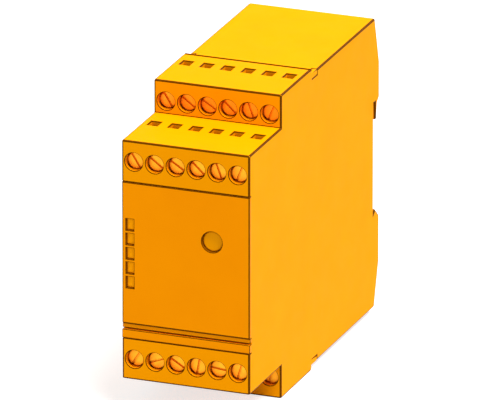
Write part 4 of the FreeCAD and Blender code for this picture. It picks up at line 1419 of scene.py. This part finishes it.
@dataclass
class Boards(SubAssembly):
    """The five circuit boards with their small parts, and the connectors that join them."""

    resistor: Point = (0.55, 1.25, 2.0)
    resistor_steps: Pair = (4.2, 3.4)
    resistor_rows: tuple[int, int] = (8, 3)
    resistor_start: Pair = (-6.0, -14.0)
    cap_length: float = 0.32
    cap_wrap: float = 0.03
    pin: float = 0.64
    header_pitch: float = 2.5
    header_cells: int = 12
    header_gap: float = 0.02
    pin_reach: float = 1.9
    header_chamfer: float = 0.35
    socket_wall: float = 0.7
    socket_depth: float = 5.0
    plug_pin_start: Point = (1.3, 0.0, 1.5)
    plug_pin_end: float = 1.2
    plug_pin_steps: Pair = (1.8, 2.0)
    plug_pin_rows: tuple[int, int] = (2, 7)
    chip_margin: float = 0.7
    chip_stand: float = 0.15
    chip_taper: float = 0.95
    leg_count: int = 11
    leg_margin: float = 1.3
    leg_start: Point = (0.75, -0.15, 0.2)
    leg_size: Point = (0.16, 0.3, 0.25)
    leg_path: tuple[Point, ...] = ((0.0, 0.0, -0.2), (-0.62, 0.0, -0.2), (-0.05, 0.0, -0.45))

    def chip_resistor(self, middle: Vector) -> Piece:
        """Models one chip resistor that lies along Z on a face that looks along X.

        Args:
            middle: The middle of its seat.

        Returns:
            The resistor.
        """
        height, width, length = self.resistor
        corner = middle - Vector((0.0, width, length)) / 2
        body = block("resistor", corner, corner + Vector(self.resistor))
        stepped(body, RIGHT, (0.12, 0.04))
        wrap = self.cap_wrap
        over = Vector((height + 0.04, width + wrap, 2 * wrap + self.cap_length))
        cap = block("cap", corner - Vector((0.0, wrap, 2 * wrap)), corner + over)
        caps = array("caps", cap, lattice((Axis.Z, length - self.cap_length, 2)))
        return join("resistor", [dress(body, BLACK_PLASTIC, 0.05, 1), dress(caps, SOLDER, 0.08, 1)])

    def small_parts(self) -> None:
        """Sets chip resistors in rows on the main board, between the chips and the plug."""
        chips, _ = span("logic_chips")
        back, down = self.resistor_start
        seat = Vector((span("main_board")[1].x, chips.y + back, chips.z + down))
        spots = lattice(*zip((Axis.Y, Axis.Z), self.resistor_steps, self.resistor_rows))
        place(array("chip_resistors", self.chip_resistor(seat), spots), "black_plastic")

    def header_cell(self, corner: Vector, size: float) -> Piece:
        """Models one cell of a header: a chamfered black block and its bent pin.

        Args:
            corner: The cell's lowest corner.
            size: Its width and height.

        Returns:
            The cell.
        """
        high = corner + Vector((size, self.header_pitch - self.header_gap, size))
        cell = block("cell", corner, high)
        with Shaping(cell) as shape:
            shape.edges(along(Axis.Z)).bevel(self.header_chamfer, 1)
        middle, reach = (corner + high) / 2, size / 2 + self.pin_reach
        half = Vector((self.pin, self.pin, self.pin)) / 2
        arms = [half + axis.way * reach for axis in (Axis.X, Axis.Z)]
        pins = join("pins", [block("pin", middle - arm, middle + arm) for arm in arms])
        with Shaping(pins) as shape:
            shape.faces(lambda centre, normal: (centre - middle).length > reach * 0.9)
            shape.inset(0.12, -0.2, each=True)
        return join("cell", [dress(cell, BLACK_PLASTIC, 0.08, 1), dress(pins, SOLDER, 0.04, 1)])

    def headers(self) -> None:
        """Models the four header strips between the side boards and the terminal boards."""
        low, high = span("board_headers")
        size = self.header_pitch
        across, up = high.x - low.x - size, high.z - low.z - size
        spots = lattice((Axis.X, across, 2), (Axis.Z, up, 2), (Axis.Y, self.header_pitch, self.header_cells))
        strips = array("header_strips", self.header_cell(low, size), spots)
        place(strips, "black_plastic", "board_headers")

    def plug(self) -> None:
        """Models the display board's plug: a shrouded box with two rows of pins."""
        low, high = span("display_plug")
        plug = block("display_connector", low, high)
        with Shaping(plug) as shape:
            shape.faces(REAR).inset(self.socket_wall).extrude((0.0, -self.socket_depth, 0.0))
        start = low + Vector(self.plug_pin_start)
        pin = block("pin", start, (start.x + self.pin, high.y - self.plug_pin_end, start.z + self.pin))
        stepped(pin, REAR, (0.12, -0.25))
        spots = lattice(*zip((Axis.X, Axis.Z), self.plug_pin_steps, self.plug_pin_rows))
        pins = array("pins", pin, spots)
        parts = [dress(plug, BLACK_PLASTIC, 0.15), dress(pins, TINNED_BRASS, 0.04, 1)]
        place(join("display_connector", parts), "black_plastic", "display_plug")

    def chip_leg(self, corner: Vector) -> Piece:
        """Models one gull-wing leg that starts at a chip's edge and steps down to the board along Z.

        Args:
            corner: The lowest corner of the room that the leg has.

        Returns:
            The leg.
        """
        start = corner + Vector(self.leg_start)
        thick, wide, first = self.leg_size
        leg = block("leg", start - Vector((0.0, 0.0, first)), start + Vector((thick, wide, 0.0)))
        with Shaping(leg) as shape:
            shape.faces(UNDER)
            for offset in self.leg_path:
                shape.extrude(offset)
        return leg

    def chips(self) -> None:
        """Models the two processors, with legs on all four sides."""
        low, high = span("logic_chips")
        width, margin = high.z - low.z, self.chip_margin
        middle = Vector((low.x, low.y + width / 2, low.z + width / 2))
        start = low + Vector((self.chip_stand, margin, margin))
        body = block("chip", start, (high.x, low.y + width - margin, high.z - margin))
        with Shaping(body) as shape:
            shape.faces(RIGHT).scale((1.0, self.chip_taper, self.chip_taper), (high.x, middle.y, 0.0))
        stepped(body, RIGHT, (0.3, 0.0), (0.15, 0.03))
        leg = self.chip_leg(low + Vector((0.0, self.leg_margin, margin)))
        step = (width - 2 * self.leg_margin) / (self.leg_count - 1)
        side = array("side", leg, lattice((Axis.Y, step, self.leg_count)))
        legs = []
        for quarter in range(4):
            turned = copied(side, (0.0, 0.0, 0.0))
            with Shaping(turned) as shape:
                shape.everything().turn(90.0 * quarter, Axis.X, middle)
            legs.append(turned)
        bpy.data.objects.remove(side)
        parts = [dress(body, BLACK_PLASTIC, 0.08, 1), dress(join("legs", legs), SOLDER)]
        pair = array("processors", join("chip", parts), lattice((Axis.Y, high.y - low.y - width, 2)))
        place(pair, "black_plastic", "logic_chips")

    def build(self) -> None:
        """Models, finishes and places the boards, their parts and connectors."""
        for kind in ("main", "relay", "upper_terminal", "lower_terminal", "display"):
            node = f"{kind}_board"
            stand_in(node, f"{node}_laminate", GREEN_BOARD, 0.06, "board_laminate")
        self.small_parts()
        self.headers()
        self.plug()
        self.chips()


@dataclass
class SafetyRelays(SubAssembly):
    """The three relays with forced contacts that stand on the right-hand board."""

    base: float = 3.0
    panel_rim: float = 1.4
    panel_depth: float = 0.35
    foot_inset: float = 0.3
    foot_step: Pair = (1.0, 0.6)
    vent_inset: float = 4.0
    pin: float = 0.8
    pin_root: float = 0.8
    pin_length: float = 2.9
    pin_inset: float = 2.0
    pin_base: float = 3.0
    pin_step: float = 8.4
    pin_rows: int = 5

    def relay(self, node: str, name: str) -> None:
        """Models one relay: a grey case with sunk panels on a black base with pins.

        Args:
            node: The CAD node that it stands for.
            name: The piece's name.
        """
        low, high = span(node)
        inset = self.foot_inset
        case = block("case", low, (high.x - self.base, high.y, high.z))
        with Shaping(case) as shape:
            shape.faces(lambda centre, normal: abs(normal.z) < 0.5 and normal.x < 0.9)
            shape.inset(self.panel_rim, self.panel_depth, each=True)
        start = (high.x - self.base, low.y + inset, low.z + inset)
        foot = block("foot", start, (high.x, high.y - inset, high.z - inset))
        stepped(foot, RIGHT, self.foot_step)
        profile = ((0.0, 0.0), (0.0, 0.7), (0.2, 0.9), (0.8, 0.9), (0.8, 0.0))
        middle = (low.x + 0.1, (low.y + high.y) / 2, high.z - self.vent_inset)
        vent = lathe("vent", profile, middle, Axis.X, 20)
        start = Vector((high.x - self.pin_root, low.y + self.pin_inset, low.z + self.pin_base))
        pin = block("pin", start, start + Vector((self.pin_length, self.pin, self.pin / 2)))
        stepped(pin, RIGHT, (0.12, -0.2))
        across = high.y - low.y - 2 * self.pin_inset - self.pin
        pins = array("pins", pin, lattice((Axis.Y, across, 2), (Axis.Z, self.pin_step, self.pin_rows)))
        parts = [
            dress(case, GREY_CASE, 0.35), dress(foot, BLACK_PLASTIC, 0.15),
            dress(vent, GREY_CASE), dress(pins, SOLDER, 0.05, 1),
        ]
        place(join(name, parts), "relay_plastic", node)

    def build(self) -> None:
        """Models, finishes and places the relays."""
        for number in range(1, RELAYS + 1):
            self.relay(f"safety_relay_{number}", f"relay_{number}")


@dataclass
class PowerSupply(SubAssembly):
    """The transformer, the smoothing capacitors and the input fuse on the left-hand board."""

    can_radius: float = 5.0
    can_length: float = 20.0
    crimp: float = 3.3
    score: float = 0.15
    score_rim: float = 2.0
    pin: float = 0.7
    pin_length: float = 3.0
    pin_stand: float = 2.0
    pin_inset: Point = (0.0, 1.0, 1.5)
    pin_rows: int = 5
    fuse_round: float = 1.6
    fuse_end: float = 0.4
    lead_radius: float = 0.3
    lead_spacing: float = 5.08

    def transformer(self) -> None:
        """Models the laminated core, the bobbin with its pins and the winding."""
        stand_in("transformer_core", "laminated_core", CORE_IRON, 0.2, "core_iron")
        low, high = span("transformer_bobbin")
        bobbin = dress(merged_copy("transformer_bobbin", "coil_former"), NATURAL_PLASTIC, 0.15)
        inset = Vector(self.pin_inset)
        start = low + inset - Vector((self.pin_stand, 0.0, 0.0))
        pin = rod("pin", start, self.pin_length, self.pin / 2, Axis.X)
        stepped(pin, LEFT, (0.12, -0.15))
        room = high - low - 2 * inset
        spots = lattice((Axis.Y, room.y, 2), (Axis.Z, room.z / (self.pin_rows - 1), self.pin_rows))
        pins = dress(array("pins", pin, spots), SOLDER)
        place(join("coil_former", [bobbin, pins]), "bobbin_plastic", "transformer_bobbin")
        stand_in("transformer_winding", "copper_winding", WOUND_COPPER, 0.5, "winding_copper")

    def can(self, start: Vector) -> Piece:
        """Models one capacitor that stands along X: a crimped can in a striped sleeve, with a scored top.

        Args:
            start: The middle of its seat.

        Returns:
            The capacitor.
        """
        radius, length = self.can_radius, self.can_length
        profile = (
            (0.0, 0.0), (0.0, radius - 0.9), (0.3, radius - 0.35), (0.9, radius - 0.02),
            (1.7, radius - 0.02), (2.1, radius - 0.35), (2.5, radius - 0.4), (2.9, radius - 0.35),
            (self.crimp, radius), (length - 0.35, radius), (length - 0.08, radius - 0.2),
            (length, radius - 0.5), (length, radius - 1.0), (length - 0.2, radius - 1.05),
            (length - 0.2, 0.0),
        )
        sleeve = paint(lathe("sleeve", profile, start, Axis.X, 48), DARK_SLEEVE, PALE_STRIPE)
        with Shaping(sleeve) as shape:
            shape.faces(
                lambda centre, normal: normal.z > 0.86 and self.crimp < centre.x - start.x < length - 0.5
            ).finish(1)
        profile = ((0.0, 0.0), (0.0, radius - 1.1), (0.3, radius - 1.1), (0.38, radius - 1.3), (0.38, 0.0))
        top = lathe("top", profile, start + Vector((length - 0.45, 0.0, 0.0)), Axis.X, 48)
        face, far = start + Vector((length - 0.07, 0.0, 0.0)), radius - self.score_rim
        for across, up in ((far, self.score), (self.score, far)):
            low, high = face - Vector((0.12, across, up)), face + Vector((1.0, across, up))
            combine(top, block("score", low, high))
        return join("can", [smooth(sleeve, SHARP), dress(top, ALUMINIUM)])

    def capacitors(self) -> None:
        """Models the two capacitors."""
        low, high = span("smoothing_capacitors")
        first = Vector((low.x, (low.y + high.y) / 2, low.z + self.can_radius))
        spots = lattice((Axis.Z, high.z - low.z - 2 * self.can_radius, 2))
        cans = array("can_capacitors", self.can(first), spots)
        place(cans, "capacitor_sleeve", "smoothing_capacitors")

    def fuse(self) -> None:
        """Models the input fuse: a rounded brown case on two leads."""
        low, high = span("input_fuse")
        case = block("fuse_case", low + Vector((self.fuse_end, 0.0, 0.0)), high)
        with Shaping(case) as shape:
            shape.edges(along(Axis.X)).bevel(self.fuse_round, 4)
        stepped(case, RIGHT, (0.7, 0.15))
        stepped(case, LEFT, (1.2, -self.fuse_end))
        middle = (low + high) / 2
        start = (low.x - self.pin_stand, middle.y - self.lead_spacing / 2, middle.z)
        lead = rod("lead", start, self.pin_length, self.lead_radius, Axis.X)
        stepped(lead, LEFT, (0.1, -0.12))
        leads = array("leads", lead, lattice((Axis.Y, self.lead_spacing, 2)))
        parts = [dress(case, FUSE_BROWN, 0.2), dress(leads, SOLDER)]
        place(join("fuse", parts), "fuse_plastic", "input_fuse")

    def build(self) -> None:
        """Models, finishes and places the power supply's parts."""
        self.transformer()
        self.capacitors()
        self.fuse()


# --------------------------------------------------------------------- studio


@dataclass
class Studio(SubAssembly):
    """The pale floor, the soft light and the camera."""

    floor_gap: float = 0.05
    floor_size: float = 6.0
    floor_grey: float = 0.5
    floor_glow: float = 0.7
    sky_level: float = 0.5
    lamp_from: Point = (0.374, -0.119, 0.92)
    lamp_strength: float = 4.6
    lamp_width: float = 30.0
    focal_length: float = 1000.0
    sensor: float = 36.0
    reach: float = 4.0
    view_width: float = 166.0
    azimuth: float = 20.9
    elevation: float = 19.9
    target: Point = (-0.4, -56.0, -0.75)

    def shown(self, tree: bpy.types.NodeTree, low: float, high: float) -> Socket:
        """A level that changes where the camera, a gloss or a clear piece looks at the surface.

        Args:
            tree: The node tree to add to.
            low: The level for the light that falls on the object.
            high: The level that is seen.

        Returns:
            The level.
        """
        path = tree.nodes.new("ShaderNodeLightPath")
        seen = path.outputs["Is Camera Ray"]
        for ray in ("Is Glossy Ray", "Is Transmission Ray"):
            most = tree.nodes.new("ShaderNodeMath")
            most.operation = "MAXIMUM"
            tree.links.new(seen, most.inputs[0])
            tree.links.new(path.outputs[ray], most.inputs[1])
            seen = most.outputs[0]
        level = tree.nodes.new("ShaderNodeMapRange")
        tree.links.new(seen, level.inputs["Value"])
        level.inputs["To Min"].default_value = low
        level.inputs["To Max"].default_value = high
        return level.outputs["Result"]

    def floor(self) -> None:
        """Lays a plain pale floor that is white outside the object's shadow."""
        deselect()
        level = CAD_BOX[0][2] - self.floor_gap * MM
        bpy.ops.mesh.primitive_plane_add(size=self.floor_size, location=(0.0, 0.0, level))
        floor = settle("floor")
        sheet = Sheet("pale_floor")
        sheet.set(Base_Color=solid((self.floor_grey,) * 3), Roughness=0.9, Specular_IOR_Level=0.0)
        glow = self.shown(sheet.tree, 0.0, self.floor_glow)
        sheet.set(Emission_Color=solid(WHITE), Emission_Strength=glow)
        floor.data.materials.append(sheet.material)

    def sky(self) -> None:
        """Lights the scene softly from all round, and gives a white background."""
        world = bpy.data.worlds.new("studio")
        bpy.context.scene.world = world
        world.use_nodes = True
        back = world.node_tree.nodes["Background"]
        back.inputs["Color"].default_value = solid(WHITE)
        level = self.shown(world.node_tree, self.sky_level, 1.0)
        world.node_tree.links.new(level, back.inputs["Strength"])

    def lamp(self) -> None:
        """Adds the far soft lamp."""
        data = bpy.data.lights.new("key", "SUN")
        data.energy = self.lamp_strength
        data.angle = math.radians(self.lamp_width)
        lamp = bpy.data.objects.new("key", data)
        lamp.rotation_euler = Vector(self.lamp_from).to_track_quat("Z", "Y").to_euler()
        bpy.context.scene.collection.objects.link(lamp)

    def camera(self) -> None:
        """Sets the camera far off with a long lens."""
        data = bpy.data.cameras.new("camera")
        data.lens = self.focal_length
        data.sensor_width = self.sensor
        distance = self.view_width * MM * self.focal_length / self.sensor
        data.clip_end = distance * self.reach
        turn, rise = math.radians(self.azimuth), math.radians(self.elevation)
        way = Vector((math.sin(turn) * math.cos(rise), -math.cos(turn) * math.cos(rise), math.sin(rise)))
        camera = bpy.data.objects.new("camera", data)
        camera.location = Vector(self.target) * MM + way * distance
        camera.rotation_euler = way.to_track_quat("Z", "Y").to_euler()
        bpy.context.scene.collection.objects.link(camera)
        bpy.context.scene.camera = camera

    def build(self) -> None:
        """Sets up the studio."""
        bpy.context.scene.view_settings.view_transform = "Standard"
        self.floor()
        self.sky()
        self.lamp()
        self.camera()


def main() -> None:
    """Builds the pieces in order."""
    groups = (
        Studio(), Shells(), *(TerminalRow(row) for row in Row), Indicators(), ResetButton(), RailFoot(),
        Boards(), SafetyRelays(), PowerSupply(),
    )
    for group in groups:
        log.info("%s", type(group).__name__)
        group.build()


if __name__ == "__main__":
    main()
